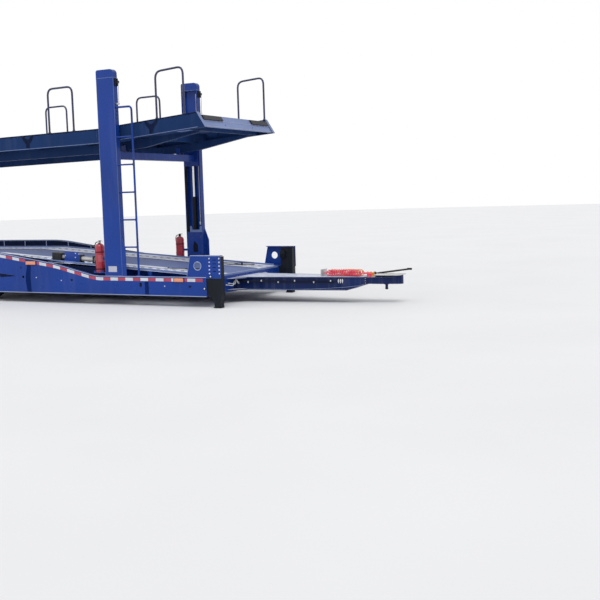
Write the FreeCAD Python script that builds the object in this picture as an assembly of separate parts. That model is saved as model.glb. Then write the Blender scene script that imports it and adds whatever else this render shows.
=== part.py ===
"""Two-deck car transporter drawbar trailer with two close-coupled axles, in millimetres.

x runs forward from the front end of the side beams, y to the left and z up from the ground.
Every solid is modelled in those coordinates and written out about the middle of the overall
length, so that the row's origin is the bottom centre of the box round the whole trailer.
"""
import FreeCAD
import Part
import math
import os

V = FreeCAD.Vector

# ---- overall ------------------------------------------------------------------------------
WIDTH = 2550.0
BODY_LENGTH = 9150.0
DRAWBAR_REACH = 2780.0        # front end of the side beams to the front of the head
LEVER_REACH = 100.0           # coupling lever's knob beyond the head
POST_TOP = 3800.0

# ---- wheels and axles ---------------------------------------------------------------------
REAR_OVERHANG = 2950.0        # rear axle to the rear end of the side beams
AXLE_SPACING = 1300.0
TYRE_DIAMETER = 767.0
TYRE_WIDTH = 211.0
TREAD_SHARE = 0.82            # tread's width to the tyre's
SHOULDER_SHARE = 0.9          # radius of the widest part of the tyre to its own
BEAD_SHARE = 0.72             # width at the rim to the tyre's
TWIN_SPACING = 245.0
RIM_DIAMETER = 444.0
RIM_WALL = 14.0
RIM_LIP = 80.0                # rim's edge beyond the middle of a tyre
HUB_RADIUS = 95.0
HUB_NOSE = 95.0               # hub's ends, out and in from the middle of the twin
HUB_BACK = 150.0
DISC_BACK = 12.0
DISC_NOSE = 50.0
DISC_BOWL = 60.0
TYRE_INSET = 40.0             # outer tyre's side inside the trailer's width
AXLE_TUBE = 120.0
SPINDLE_RADIUS = 45.0
DRUM_RADIUS = 150.0
DRUM_WIDTH = 70.0
DRUM_GAP = 10.0               # brake drum to the back of the hub
SPINDLE_SHORT = 16.0          # spindle's end inside the hub's nose
RUNNING_GAP = 0.1
ARCH_CLEARANCE = 95.0         # round the wheels, before and behind
ARCH_OVER_TYRE = 33.0
ARCH_RADIUS = 300.0

# ---- lower deck ---------------------------------------------------------------------------
DECK_FRONT = 60.0
DECK_LOW = 480.0
DECK_OVER_TYRE = 45.0
DECK_CLIMB_SHORT = 100.0      # climb's end before the front axle
DECK_REAR = 600.0
PLATE = 5.0
CENTRE_PLATE = 3.0
TRACK_SEAT = 50.0             # track's inner edge inside the main beam's middle
TRACK_EDGE_GAP = 170.0
COVER_LEAD = 60.0             # wheel cover's sloping lip before the arch
MEMBER_DEPTH = 150.0
MEMBER_END = 60.0             # least depth where a member meets the side beam
MEMBER_WIDTH = 60.0
MEMBER_PITCH = 740.0
MEMBER_FIRST = 444.0
BEAM_INBOARD = 229.0          # main beam's middle inside the inner tyre's side
MAIN_FLANGE = 120.0
MAIN_FLANGE_PLATE = 12.0
BEAM_LIFT = 30.0              # main beam's underside above the skirts
BEAM_OVER_TUBE = 116.5        # main beam's underside above the axle tubes
BEAM_TAPER = 450.0            # length over which the main beam narrows
BEAM_LEVEL = 250.0            # level stretch over the axles beyond the arches
CROSSBEAM_WIDTH = 142.0
REAR_BEAM_BOTTOM = 440.0

# ---- side beams ---------------------------------------------------------------------------
WEB = 8.0
BEAM_FLANGE = 60.0
SKIRT_BOTTOM = 170.0
REAR_SKIRT_BOTTOM = 400.0
RAIL_LOW = 480.0
RAIL_OVER_DECK = 148.0
RAIL_REAR = 700.0
FRONT_FLAT = 2165.0
FIRST_CLIMB = 850.0
FIRST_CLIMB_RISE = 196.0
HUMP_PAST_AXLE = 80.0         # the climb's end behind the front axle
REAR_SLOPE = 1000.0
FLAT_BEND = 1250.0
CLIMB_BEND = 3000.0
HUMP_BEND = 4000.0
REAR_BEND = 800.0
SEAM_WIDTH = 40.0
SEAM_PLACES = (1150.0, 3590.0)
SEAM_DROP = 90.0              # slot's end under the rail
DRAIN_PLACES = ((1250.0, 355.0, 24.0), (3730.0, 440.0, 24.0), (3770.0, 600.0, 15.0))

# ---- posts and lifting gear ---------------------------------------------------------------
FRONT_POST_X = 1775.0
REAR_POST_FROM_END = 1375.0
POST_WIDTH = 345.0
POST_DEPTH = 100.0
POST_WALL = 10.0
POST_CAP = 130.0
CAP_FRONT_BEND = 70.0
CAP_REAR_BEND = 35.0
FRONT_PANEL = 610.0
REAR_PANEL = 290.0
PANEL_SLOT = 50.0
PANEL_SLOT_SPAN = (0.4, 0.7)   # slot's ends as shares of the panel's height
GUSSET_REACH = 80.0
GUSSET_FRONT = 455.0          # height of a gusset's outer edge
GUSSET_REAR = 520.0
GUSSET_RISE = 215.0           # from there to its top at the post
PULLEY_RADIUS = 30.0
PULLEY_OUT = 34.0
PULLEY_DROP = 20.0
FORK_PLATE = 8.0
FORK_HEIGHT = 120.0
BARREL_RADIUS = 38.0
ROD_RADIUS = 25.0
FRONT_BARREL = 1250.0
BARREL_BASE = 30.0
LIFT_DOWN = 400.0             # travel of both lift beams under the level deck
TILT_DOWN = 430.0             # further travel of the rear one
YOKE_CLEARANCE = 26.0
ROD_GUIDE = 320.0             # rear rod's length inside its barrel at rest
ROD_FOOT = 60.0               # front rod above its barrel's base with the deck down
SLIDER_GAP = 8.0
SLIDER_BAR = 70.0
SLIDER_PLATE = 15.0
SLIDER_SIDE_GAP = 10.0
YOKE_PLATE = 40.0
FRONT_SLIDER = (80.0, 200.0)  # below and above the lift beam
REAR_SLIDER = (60.0, 690.0)
REAR_YOKE_RISE = 620.0
LIFT_BEAM = 120.0
LIFT_BEAM_GAP = 30.0          # under the upper deck's long beams
PIN_RADIUS = 20.0
PIN_RISE = 50.0               # pin's middle above the long beam's underside
PIN_SLOT = 60.0
PIN_SLOT_GAP = 1.5
EAR_WIDTH = 80.0
EAR_PLATE = 15.0
EAR_GAP = 5.0
EAR_TOP = 36.0

# ---- upper deck ---------------------------------------------------------------------------
UPPER_SIDE_GAP = 40.0
UPPER_FRONT_TOP = 3040.0
UPPER_KNEE_TOP = 2885.0
UPPER_REAR_TOP = 2770.0
UPPER_FRONT_X = 150.0
UPPER_KNEE_X = 2100.0
UPPER_REAR_FROM_END = 100.0
UPPER_RAIL = 240.0
UPPER_RAIL_FLANGE = 60.0
UPPER_DECK_DROP = 75.0
UPPER_LONG_BEAM = 145.0
UPPER_LONG_WIDTH = 80.0
UPPER_LONG_TAPER = 1000.0     # front length over which a long beam grows to its depth
UPPER_LONG_TIP = 40.0
UPPER_LONG_INBOARD = 335.0    # long beam's middle inside the rail's outer face
UPPER_TRACK_INNER = 380.0
UPPER_PITCH = 1100.0
UPPER_END_GAP = 200.0         # first and last cross members inside the deck's ends
UPPER_MEMBER = 60.0
UPPER_BEAM = 60.0
UPPER_BEAM_DROP = 30.0
TRACK_FRONT_GAP = 90.0
TRACK_REAR_GAP = 80.0
BUFFER_HEIGHT = 70.0
BUFFER_PROUD = 30.0
BUFFER_ENDS = (95.0, 665.0)   # inside the rail's outer face
HOOP_HEIGHT = 740.0
HOOP_WIDTH = 520.0
HOOP_TUBE = 17.0
HOOP_BEND = 90.0
HOOP_FIRST = 650.0
HOOP_PITCH = 2200.0
HOOP_COUNT = 4
HOOP_LEFT_FORWARD = 210.0     # left-hand hoops in front of the right-hand ones
HOOP_SIDES = 6

# ---- drawbar ------------------------------------------------------------------------------
DRAWBAR_TOP = 410.0
DRAWBAR_BOTTOM = 200.0
DRAWBAR_ROOT = 420.0
DRAWBAR_TIP = 150.0
DRAWBAR_BOX = 2200.0
DRAWBAR_PLATE = 12.0
DRAWBAR_LIP_ROOT = 25.0       # top and bottom plates beyond the sides
DRAWBAR_LIP_TIP = 15.0
DRAWBAR_RISE = 95.0
DRAWBAR_RISE_LENGTH = 300.0
EYE_RADIUS = 25.0
EYE_RING = 75.0
HEAD_DEPTH = 105.0
HEAD_PLATE = 36.0             # wear plate's height on the head
HEAD_PLATE_BACK = 355.0       # its rear end behind the eye
HEAD_PLATE_HALF = 88.0
HEAD_NECK = 250.0
LOCK_BACK = 200.0
LOCK_DROP = 85.0
LOCK_RADIUS = 22.0
LEVER_SIDE = 112.0
LEVER_BACK = 65.0
LEVER_LOW = 40.0
LEVER_HIGH = 115.0
LEVER_RADIUS = 9.0
KNOB_RADIUS = 16.0
KNOB_LENGTH = 70.0
LUG = 32.0
HOSE_START = 1450.0
HOSE_LENGTH = 700.0
HOSE_STRAIGHT = 130.0
HOSE_BOW = 50.0
HOSE_RADIUS = 55.0
HOSE_SPACING = 122.0
HOSE_LIFT = 0.3
HOSE_BOSS = 16.0
HOSE_BEND_SHARE = 0.45        # of a run that each bend may take up
BRACKET_PLATE = 10.0
BRACKET_BACK = 28.0
BRACKET_SIZE = 110.0
COUPLING_NECK = 20.0
COUPLING_RADIUS = 34.0

# ---- fittings -----------------------------------------------------------------------------
BRACKET_REACH = 270.0         # jack bracket beyond the side beam's end
BRACKET_ROOT = 360.0
BRACKET_TOP = 340.0           # above the rail
BRACKET_LIP = 20.0            # under the rail's level
BRACKET_FLANGE = 75.0
JACK_HOLE = 62.0
JACK_HOLE_BACK = 150.0
JACK_HOLE_DROP = 165.0
JACK_DEPTH = 110.0
JACK_BODY = (40.0, 262.0)
JACK_FOOT = (130.0, 240.0)
JACK_TAPER = (75.0, 190.0)    # heights between which the leg narrows
JACK_TOP_DROP = 20.0
SPRING_WIDTH = 76.0
SPRING_END_GAP = 90.0
SPRING_CAMBER = 62.0
SPRING_LEAVES = 24.0
SPRING_SEAT = 70.0
SPRING_STACK = 66.0
HANGER_LENGTH = 90.0
HANGER_CHEEK = 12.0
LADDER_REACH = 302.5          # stile before the front post
LADDER_TUBE = 34.0
LADDER_RUNG = 26.0
LADDER_INSET = 35.5           # tubes' middle inside the trailer's width
LADDER_FIRST = 470.0
LADDER_PITCH = 442.5
LADDER_RUNGS = 5
LADDER_TOP = 2730.0           # above the rail
BOTTLE_RADIUS = 78.0
BOTTLE_HEIGHT = 420.0
BOTTLE_SHOULDER = 60.0
BOTTLE_VALVE = 24.0
BOTTLE_BACK = 165.0           # behind the front post
BOTTLE_INSET = 89.0
BOTTLE_RISE = 50.0
SHELF = 8.0
SHELF_HALF = 62.0
SHELF_REACH = 20.0            # beyond the bottle
STRAP_HALF = 12.0
STRAP_HEIGHT = 40.0
WINCH_X = 3230.0
WINCH_LENGTH = 890.0
WINCH_WIDTH = 150.0
WINCH_AXIS = 85.0
WINCH_BASE = 10.0
WINCH_COLLAR = 34.0           # radius of the collar between gearbox and drum
WINCH_COLLAR_LENGTH = 80.0
WINCH_GUARD = 330.0           # length of the guard plate beside the drum
WINCH_GUARD_RISE = 110.0      # its top above the drum's axis
WINCH_CHEEK_RISE = 65.0       # drum cheeks' tops above the drum's axis
WINCH_CHEEK_HALF = 60.0
WINCH_TAIL = 6.0              # drum's end before the base's end
DRUM_START = 280.0
DRUM_TUBE = 40.0
DRUM_PLATE = 14.0
AIR_TANK_RADIUS = 105.0
AIR_TANK_SPACING = 250.0
AIR_TANK_OVER = 120.0
AIR_TANK_STRAP = 40.0
AIR_TANK_STRAP_HALF = 50.0    # strap's half width across
AIR_TANK_DROP = 32.0          # hanger's length under the members
AIR_TANK_BAY = 3              # cross member in front of the tanks
RAMP_LENGTH = 1900.0
RAMP_DEPTH = 58.0
RAMP_GAP = 12.0               # under the rear crossbeam
RAMP_SIDE_GAP = 70.0          # between a ramp and the main beam's flange
RAMP_STILE = 30.0
RAMP_MIDDLE_GAP = 40.0
RAMP_STEP = 50.0
RAMP_STEPS = 8
RAMP_STEP_INSET = 14.5        # steps within the stiles' height
CARRIER = 25.0
CARRIER_WIDTH = 60.0
CARRIER_PLACES = (500.0, 1500.0)
BUMPER_BOTTOM = 230.0
BUMPER_HEIGHT = 90.0
BUMPER_DEPTH = 80.0
BUMPER_END_GAP = 120.0
BUMPER_HANGER_Y = 760.0
LAMP_DEPTH = 38.0
LAMP_HEIGHT = 100.0
LAMP_RISE = 15.0
LAMP_ENDS = (80.0, 420.0)     # inside the trailer's width

# ---- derived places -----------------------------------------------------------------------
HALF = WIDTH / 2
INNER = HALF - WEB
AXLE_X = BODY_LENGTH - REAR_OVERHANG - AXLE_SPACING
AXLES = (("front", -AXLE_X), ("rear", -AXLE_X - AXLE_SPACING))
TYRE_RADIUS = TYRE_DIAMETER / 2
RIM_RADIUS = RIM_DIAMETER / 2
TWIN_MID = HALF - TYRE_INSET - TYRE_WIDTH / 2 - TWIN_SPACING / 2
ARCH_FRONT = -AXLE_X + TYRE_RADIUS + ARCH_CLEARANCE
ARCH_REAR = -AXLE_X - AXLE_SPACING - TYRE_RADIUS - ARCH_CLEARANCE
ARCH_TOP = TYRE_DIAMETER + ARCH_OVER_TYRE
DECK_HIGH = TYRE_DIAMETER + DECK_OVER_TYRE
DECK_CLIMB_END = AXLE_X - DECK_CLIMB_SHORT
RAIL_HIGH = DECK_HIGH + RAIL_OVER_DECK
MAIN_BEAM_Y = TWIN_MID - (TWIN_SPACING + TYRE_WIDTH) / 2 - BEAM_INBOARD
MAIN_BEAM_EDGE = MAIN_BEAM_Y - MAIN_FLANGE / 2
TRACK_INNER = MAIN_BEAM_Y - TRACK_SEAT
OVER_AXLE = TYRE_RADIUS + AXLE_TUBE / 2 + BEAM_OVER_TUBE
RAMP_LOW = REAR_BEAM_BOTTOM - RAMP_GAP - RAMP_DEPTH
REAR_POST_X = BODY_LENGTH - REAR_POST_FROM_END
UPPER_HALF = HALF - POST_DEPTH - UPPER_SIDE_GAP
UPPER_INNER = UPPER_HALF - UPPER_RAIL_FLANGE
UPPER_LONG_Y = UPPER_HALF - UPPER_LONG_INBOARD
UPPER_REAR = BODY_LENGTH - UPPER_REAR_FROM_END
HOSE_Z = DRAWBAR_TOP + HOSE_RADIUS + HOSE_LIFT
OVERALL_FRONT = DRAWBAR_REACH + LEVER_REACH
OVERALL_REAR = -(BODY_LENGTH - WEB + LAMP_DEPTH)
X_MIDDLE = (OVERALL_FRONT + OVERALL_REAR) / 2

RAIL_KNEES = (  # x, z, bend radius
    (0.0, RAIL_LOW, 0.0),
    (-FRONT_FLAT, RAIL_LOW, FLAT_BEND),
    (-FRONT_FLAT - FIRST_CLIMB, RAIL_LOW + FIRST_CLIMB_RISE, CLIMB_BEND),
    (-AXLE_X - HUMP_PAST_AXLE, RAIL_HIGH, HUMP_BEND),
    (-BODY_LENGTH + REAR_SLOPE, RAIL_HIGH, REAR_BEND),
    (-BODY_LENGTH, RAIL_REAR, 0.0),
)
DECK_KNEES = (  # x, z
    (-DECK_FRONT, DECK_LOW),
    (-DECK_CLIMB_END, DECK_HIGH),
    (-BODY_LENGTH + REAR_SLOPE, DECK_HIGH),
    (-BODY_LENGTH + DECK_FRONT, DECK_REAR),
)
DECK_BENDS = [x for x, z in DECK_KNEES[1:-1]]
UPPER_KNEES = (  # x, z of the rail's top
    (-UPPER_FRONT_X, UPPER_FRONT_TOP),
    (-UPPER_KNEE_X, UPPER_KNEE_TOP),
    (-UPPER_REAR, UPPER_REAR_TOP),
)


def height(knees, x):
    """Height of a broken line of knees at x, the knees running rearwards."""
    for front, rear in zip(knees, knees[1:]):
        if x >= rear[0]:
            break
    share = (front[0] - x) / (front[0] - rear[0])
    return front[1] + share * (rear[1] - front[1])


def deck_z(x):
    return height(DECK_KNEES, x)


def rail_z(x):
    return height(RAIL_KNEES, x)


def upper_z(x):
    return height(UPPER_KNEES, x)


# ---- shapes -------------------------------------------------------------------------------
def box(x0, x1, y0, y1, z0, z1):
    return Part.makeBox(x1 - x0, y1 - y0, z1 - z0, V(x0, y0, z0))


def rod_x(x0, x1, y, z, radius):
    return Part.makeCylinder(radius, x1 - x0, V(x0, y, z), V(1, 0, 0))


def rod_y(x, y0, y1, z, radius):
    return Part.makeCylinder(radius, y1 - y0, V(x, y0, z), V(0, 1, 0))


def rod_z(x, y, z0, z1, radius):
    return Part.makeCylinder(radius, z1 - z0, V(x, y, z0), V(0, 0, 1))


def loop(corners):
    """Closed wire through corners (point, bend radius), each bend a tangent arc."""
    edges = []
    ends = []
    count = len(corners)
    for index, (point, radius) in enumerate(corners):
        before = (corners[index - 1][0] - point).normalize()
        after = (corners[(index + 1) % count][0] - point).normalize()
        if radius == 0:
            ends.append((point, point, None))
            continue
        half_angle = before.getAngle(after) / 2
        reach = radius / math.tan(half_angle)
        bisector = (before + after).normalize()
        middle = point + bisector * (radius / math.sin(half_angle) - radius)
        ends.append((point + before * reach, point + after * reach, middle))
    for index, (start, end, middle) in enumerate(ends):
        if middle is not None:
            edges.append(Part.Arc(start, middle, end).toShape())
        following = ends[(index + 1) % count][0]
        if end.distanceToPoint(following) > 1e-6:
            edges.append(Part.LineSegment(end, following).toShape())
    return Part.Wire(edges)


def side_wire(outline):
    """Wire in the plane y = 0 from (x, z) or (x, z, bend radius)."""
    return loop([(V(p[0], 0, p[1]), p[2] if len(p) > 2 else 0.0) for p in outline])


def side_plate(outline, y0, y1):
    """Plate with the given side outline, from y0 to y1."""
    face = Part.Face(side_wire(outline))
    face.translate(V(0, y0, 0))
    return face.extrude(V(0, y1 - y0, 0))


def plan_plate(outline, z0, z1):
    """Plate with the given outline seen from above, (x, y) or (x, y, bend radius)."""
    wire = loop([(V(p[0], p[1], z0), p[2] if len(p) > 2 else 0.0) for p in outline])
    return Part.Face(wire).extrude(V(0, 0, z1 - z0))


def rim_plate(outline, y0, y1, wall):
    """Band of the given wall that runs round the inside of a side outline."""
    wire = side_wire(outline)
    inner = wire.makeOffset2D(-wall, 2)
    face = Part.Face(wire).cut(Part.Face(inner))
    face.translate(V(0, y0, 0))
    return face.extrude(V(0, y1 - y0, 0))


def joined(shapes):
    first = shapes[0]
    return first.fuse(shapes[1:]).removeSplitter() if len(shapes) > 1 else first


def mirrored(shape):
    return shape.mirror(V(0, 0, 0), V(0, 1, 0))


def both_sides(shape):
    return [shape, mirrored(shape)]


def parted(shape, places):
    """Lengths of a shape that meet end to end at the given places, rearwards."""
    edges = [DRAWBAR_REACH] + list(places) + [-BODY_LENGTH]
    return [shape.common(box(rear, front, -HALF, HALF, 0.0, POST_TOP)).Solids[0]
            for front, rear in zip(edges, edges[1:])]


def revolved(section, x, z):
    """Solid of revolution about a cross axis through x and z, from (radius, y) points."""
    points = [V(x, y, z + radius) for radius, y in section]
    face = Part.Face(Part.makePolygon(points + points[:1]))
    return face.revolve(V(x, 0, z), V(0, 1, 0), 360)


def sweep(points, radius, bends):
    """Round bar along straight runs joined by tangent arcs of the given radii."""
    pieces = []
    start = points[0]
    for before, corner, after, bend in zip(points, points[1:], points[2:], bends):
        back = (before - corner).normalize()
        ahead = (after - corner).normalize()
        half_angle = back.getAngle(ahead) / 2
        reach = bend / math.tan(half_angle)
        centre = corner + (back + ahead).normalize() * (bend / math.sin(half_angle))
        end = corner + back * reach
        pieces.append(Part.makeCylinder(radius, start.distanceToPoint(end), start, end - start))
        disc = Part.Face(Part.Wire([Part.makeCircle(radius, end, back)]))
        axis = ahead.cross(back)
        pieces.append(disc.revolve(centre, axis, 180 - math.degrees(2 * half_angle)))
        start = corner + ahead * reach
    last = points[-1]
    pieces.append(Part.makeCylinder(radius, start.distanceToPoint(last), start, last - start))
    return joined(pieces)


def mitred(points, radius, sides):
    """Bar with flat sides along straight runs with mitred corners."""
    ahead = (points[1] - points[0]).normalize()
    across = V(0, 1, 0)
    up = ahead.cross(across)
    ring = []
    for index in range(sides):
        turn = math.radians(360 * (index + 0.5) / sides)
        ring.append(points[0] + across * (radius * math.cos(turn)) + up * (radius * math.sin(turn)))
    section = Part.makePolygon(ring + ring[:1])
    return Part.makePolygon(points).makePipeShell([section], True, False, 1)


# ---- chassis ------------------------------------------------------------------------------
def side_beam():
    """Left side beam: a deep channel that climbs over the wheels, with its arch cut out."""
    outline = [(0.0, SKIRT_BOTTOM, 0.0)]
    outline += list(RAIL_KNEES)
    outline += [
        (-BODY_LENGTH, REAR_SKIRT_BOTTOM, 0.0),
        (ARCH_REAR, REAR_SKIRT_BOTTOM, 0.0),
        (ARCH_REAR, ARCH_TOP, ARCH_RADIUS),
        (ARCH_FRONT, ARCH_TOP, ARCH_RADIUS),
        (ARCH_FRONT, SKIRT_BOTTOM, 0.0),
    ]
    web = side_plate(outline, INNER, HALF)
    flange = rim_plate(outline, HALF - BEAM_FLANGE, HALF, WEB)
    half = SEAM_WIDTH / 2
    cuts = []
    for x in SEAM_PLACES:
        bottom = SKIRT_BOTTOM + 2 * WEB + half
        top = rail_z(-x) - SEAM_DROP
        cuts.append(box(-x - half, -x + half, INNER - 1, HALF + 1, bottom, top))
        cuts.append(rod_y(-x, INNER - 1, HALF + 1, bottom, half))
    for x, z, radius in DRAIN_PLACES:
        cuts.append(rod_y(-x, INNER - 1, HALF + 1, z, radius))
    return joined([web, flange]).cut(cuts)


def member_places():
    """Places of the deck's cross members, rearwards."""
    count = int((BODY_LENGTH - MEMBER_FIRST - MEMBER_WIDTH - CROSSBEAM_WIDTH) / MEMBER_PITCH)
    return [-MEMBER_FIRST - MEMBER_PITCH * index for index in range(count + 1)]


def member_top(x):
    front = x + MEMBER_WIDTH / 2
    rear = x - MEMBER_WIDTH / 2
    return min(deck_z(front), deck_z(rear)) - PLATE


def over_wheels(x):
    return ARCH_REAR - MEMBER_WIDTH < x < ARCH_FRONT + MEMBER_WIDTH


def cross_member(x):
    """Deck member at x in lengths between the beams, shallow where it passes over a wheel."""
    front = x + MEMBER_WIDTH / 2
    rear = x - MEMBER_WIDTH / 2
    top = member_top(x)
    if over_wheels(x):
        reach = MAIN_BEAM_Y + MAIN_FLANGE / 2
        whole = box(rear, front, -reach, reach, top - MAIN_FLANGE / 2, top)
    else:
        reach = HALF - TRACK_EDGE_GAP
        bottom = top - MEMBER_DEPTH
        end_top = min(top, rail_z(front) - 2 * WEB)
        end_bottom = min(bottom, end_top - MEMBER_END)
        arm = joined([box(rear, front, MAIN_BEAM_Y, reach, end_bottom, top),
                      box(rear, front, MAIN_BEAM_Y, INNER, end_bottom, end_top)])
        middle = box(rear, front, -MAIN_BEAM_Y, MAIN_BEAM_Y, bottom, top)
        whole = joined([middle] + both_sides(arm))
    return whole.cut(both_sides(main_beam())).Solids


def main_beam():
    """Left main I-beam, its top along the deck and its bottom raised over the axles."""
    front = -WEB - CROSSBEAM_WIDTH
    rear = -BODY_LENGTH + WEB + CROSSBEAM_WIDTH
    low = SKIRT_BOTTOM + BEAM_LIFT
    rear_low = RAMP_LOW - CARRIER
    outline = [(front, low), (front, deck_z(front) - PLATE)]
    outline += [(x, z - PLATE) for x, z in DECK_KNEES if rear < x < front]
    outline += [
        (rear, deck_z(rear) - PLATE),
        (rear, rear_low),
        (ARCH_REAR - BEAM_LEVEL - BEAM_TAPER, rear_low),
        (ARCH_REAR - BEAM_LEVEL, OVER_AXLE),
        (ARCH_FRONT + BEAM_LEVEL, OVER_AXLE),
        (ARCH_FRONT + BEAM_LEVEL + BEAM_TAPER, low),
    ]
    web = side_plate(outline, MAIN_BEAM_Y - WEB / 2, MAIN_BEAM_Y + WEB / 2)
    side = MAIN_FLANGE / 2
    flange = rim_plate(outline, MAIN_BEAM_Y - side, MAIN_BEAM_Y + side, MAIN_FLANGE_PLATE)
    return joined([web, flange])


def deck_strip(knees, drop, thickness, y0, y1):
    """Plate that follows a deck line, its top a given drop below the line."""
    top = [(x, z - drop) for x, z in knees]
    bottom = [(x, z - drop - thickness) for x, z in reversed(knees)]
    return side_plate(top + bottom, y0, y1)


def lower_track():
    """Left wheel track, widened to the side beam over the twin wheels."""
    edge = HALF - TRACK_EDGE_GAP
    reach = HALF - BEAM_FLANGE
    track = deck_strip(DECK_KNEES, 0.0, PLATE, TRACK_INNER, edge)
    front = min(ARCH_FRONT, -DECK_CLIMB_END)
    cover = box(ARCH_REAR, front, edge, reach, DECK_HIGH - PLATE, DECK_HIGH)
    lip = ARCH_FRONT + COVER_LEAD
    slope = deck_strip(((lip, deck_z(lip)), (front, deck_z(front))), 0.0, PLATE, edge, reach)
    return parted(joined([track, cover, slope]), DECK_BENDS)


def centre_plate():
    edge = TRACK_INNER - PLATE
    plate = deck_strip(DECK_KNEES, PLATE - CENTRE_PLATE, CENTRE_PLATE, -edge, edge)
    return parted(plate, DECK_BENDS)


def front_crossbeam():
    rear = -WEB - CROSSBEAM_WIDTH
    top = deck_z(-DECK_FRONT) - PLATE
    reach = HALF - BEAM_FLANGE
    bottom = SKIRT_BOTTOM + WEB
    return joined([box(rear, -WEB, -reach, reach, bottom, top),
                   box(rear, -WEB, -INNER, INNER, bottom, RAIL_LOW - WEB)])


def rear_crossbeam():
    rear = -BODY_LENGTH + WEB
    top = deck_z(-BODY_LENGTH + DECK_FRONT) - PLATE
    return box(rear, rear + CROSSBEAM_WIDTH, -INNER, INNER, REAR_BEAM_BOTTOM, top)


def jack_bracket():
    """Left bracket: plate on the rail with a round hole and a flange along its top."""
    top = RAIL_LOW + BRACKET_TOP
    low = RAIL_LOW - BRACKET_LIP
    lean = BRACKET_FLANGE
    outline = [(-BRACKET_ROOT, RAIL_LOW), (-BRACKET_ROOT + lean, top), (BRACKET_REACH, top),
               (BRACKET_REACH, low), (0.0, low), (0.0, RAIL_LOW)]
    plate = side_plate(outline, HALF - POST_WALL, HALF)
    hole = rod_y(-JACK_HOLE_BACK, HALF - POST_WALL - 1, HALF + 1, top - JACK_HOLE_DROP, JACK_HOLE)
    flange = box(-BRACKET_ROOT + lean, BRACKET_REACH, HALF - BRACKET_FLANGE, HALF,
                 top - POST_WALL, top)
    return joined([plate.cut(hole), flange])


def jack():
    """Left jack: square leg inside its bracket and a narrower foot on the ground."""
    rear, front = JACK_BODY
    toe_rear, toe_front = JACK_FOOT
    ankle, knee = JACK_TAPER
    top = RAIL_LOW + BRACKET_TOP - JACK_TOP_DROP
    inner = HALF - POST_WALL - JACK_DEPTH
    outline = [(rear, top), (front, top), (front, knee), (toe_front, ankle), (toe_front, 0.0),
               (toe_rear, 0.0), (toe_rear, ankle), (rear + JACK_TOP_DROP, knee), (rear, knee)]
    leg = side_plate(outline, inner, HALF - POST_WALL)
    arm = box(0.0, rear, inner, HALF - POST_WALL, SKIRT_BOTTOM + BEAM_LIFT,
              RAIL_LOW - BRACKET_LIP)
    return joined([leg, arm])


def tapered_plan(root, tip):
    return [(-WEB, root), (DRAWBAR_BOX, tip), (DRAWBAR_BOX, -tip), (-WEB, -root)]


def drawbar():
    """Tapered box with wider top and bottom plates, its underside rising to the head."""
    side = [(-WEB, DRAWBAR_BOTTOM), (-WEB, DRAWBAR_TOP), (DRAWBAR_BOX, DRAWBAR_TOP),
            (DRAWBAR_BOX, DRAWBAR_BOTTOM + DRAWBAR_RISE),
            (DRAWBAR_BOX - DRAWBAR_RISE_LENGTH, DRAWBAR_BOTTOM)]
    narrow = tapered_plan(DRAWBAR_ROOT - DRAWBAR_LIP_ROOT, DRAWBAR_TIP - DRAWBAR_LIP_TIP)
    wide = tapered_plan(DRAWBAR_ROOT, DRAWBAR_TIP)
    core = side_plate(side, -HALF, HALF).common(plan_plate(narrow, 0.0, DRAWBAR_TOP))
    rim = rim_plate(side, -HALF, HALF, DRAWBAR_PLATE).common(plan_plate(wide, 0.0, DRAWBAR_TOP))
    return joined([core, rim])


def drawbar_head():
    """Head with a raised wear plate round its vertical towing eye and a locking pin under it."""
    eye_x = DRAWBAR_REACH - EYE_RING
    bottom = DRAWBAR_TOP - HEAD_DEPTH
    top = DRAWBAR_TOP + HEAD_PLATE
    wide = DRAWBAR_TIP - DRAWBAR_LIP_TIP
    neck = DRAWBAR_TIP - DRAWBAR_LIP_ROOT
    plan = [(DRAWBAR_BOX, wide), (eye_x - HEAD_NECK, neck), (eye_x, EYE_RING),
            (eye_x, -EYE_RING), (eye_x - HEAD_NECK, -neck), (DRAWBAR_BOX, -wide)]
    raised = [(eye_x - HEAD_PLATE_BACK, HEAD_PLATE_HALF), (eye_x, EYE_RING),
              (eye_x, -EYE_RING), (eye_x - HEAD_PLATE_BACK, -HEAD_PLATE_HALF)]
    head = joined([plan_plate(plan, bottom, DRAWBAR_TOP),
                   plan_plate(raised, DRAWBAR_TOP, top),
                   rod_z(eye_x, 0.0, bottom, top, EYE_RING),
                   rod_z(eye_x - LOCK_BACK, 0.0, bottom - LOCK_DROP, bottom, LOCK_RADIUS)])
    return head.cut(rod_z(eye_x, 0.0, bottom - 1, top + 1, EYE_RADIUS))


def coupling_lever():
    """Release lever that reaches forward over the head from its lug."""
    half = LUG / 2
    low = V(DRAWBAR_BOX + LEVER_BACK, LEVER_SIDE, DRAWBAR_TOP + LEVER_LOW)
    high = V(OVERALL_FRONT - KNOB_LENGTH + KNOB_RADIUS, LEVER_SIDE, DRAWBAR_TOP + LEVER_HIGH)
    lug = box(low.x - half, low.x + half, LEVER_SIDE - half, LEVER_SIDE + half, DRAWBAR_TOP,
              low.z + half)
    bar = Part.makeCylinder(LEVER_RADIUS, low.distanceToPoint(high), low, high - low)
    knob = rod_x(OVERALL_FRONT - KNOB_LENGTH, OVERALL_FRONT, LEVER_SIDE, high.z, KNOB_RADIUS)
    return joined([lug, bar, knob])


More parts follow.
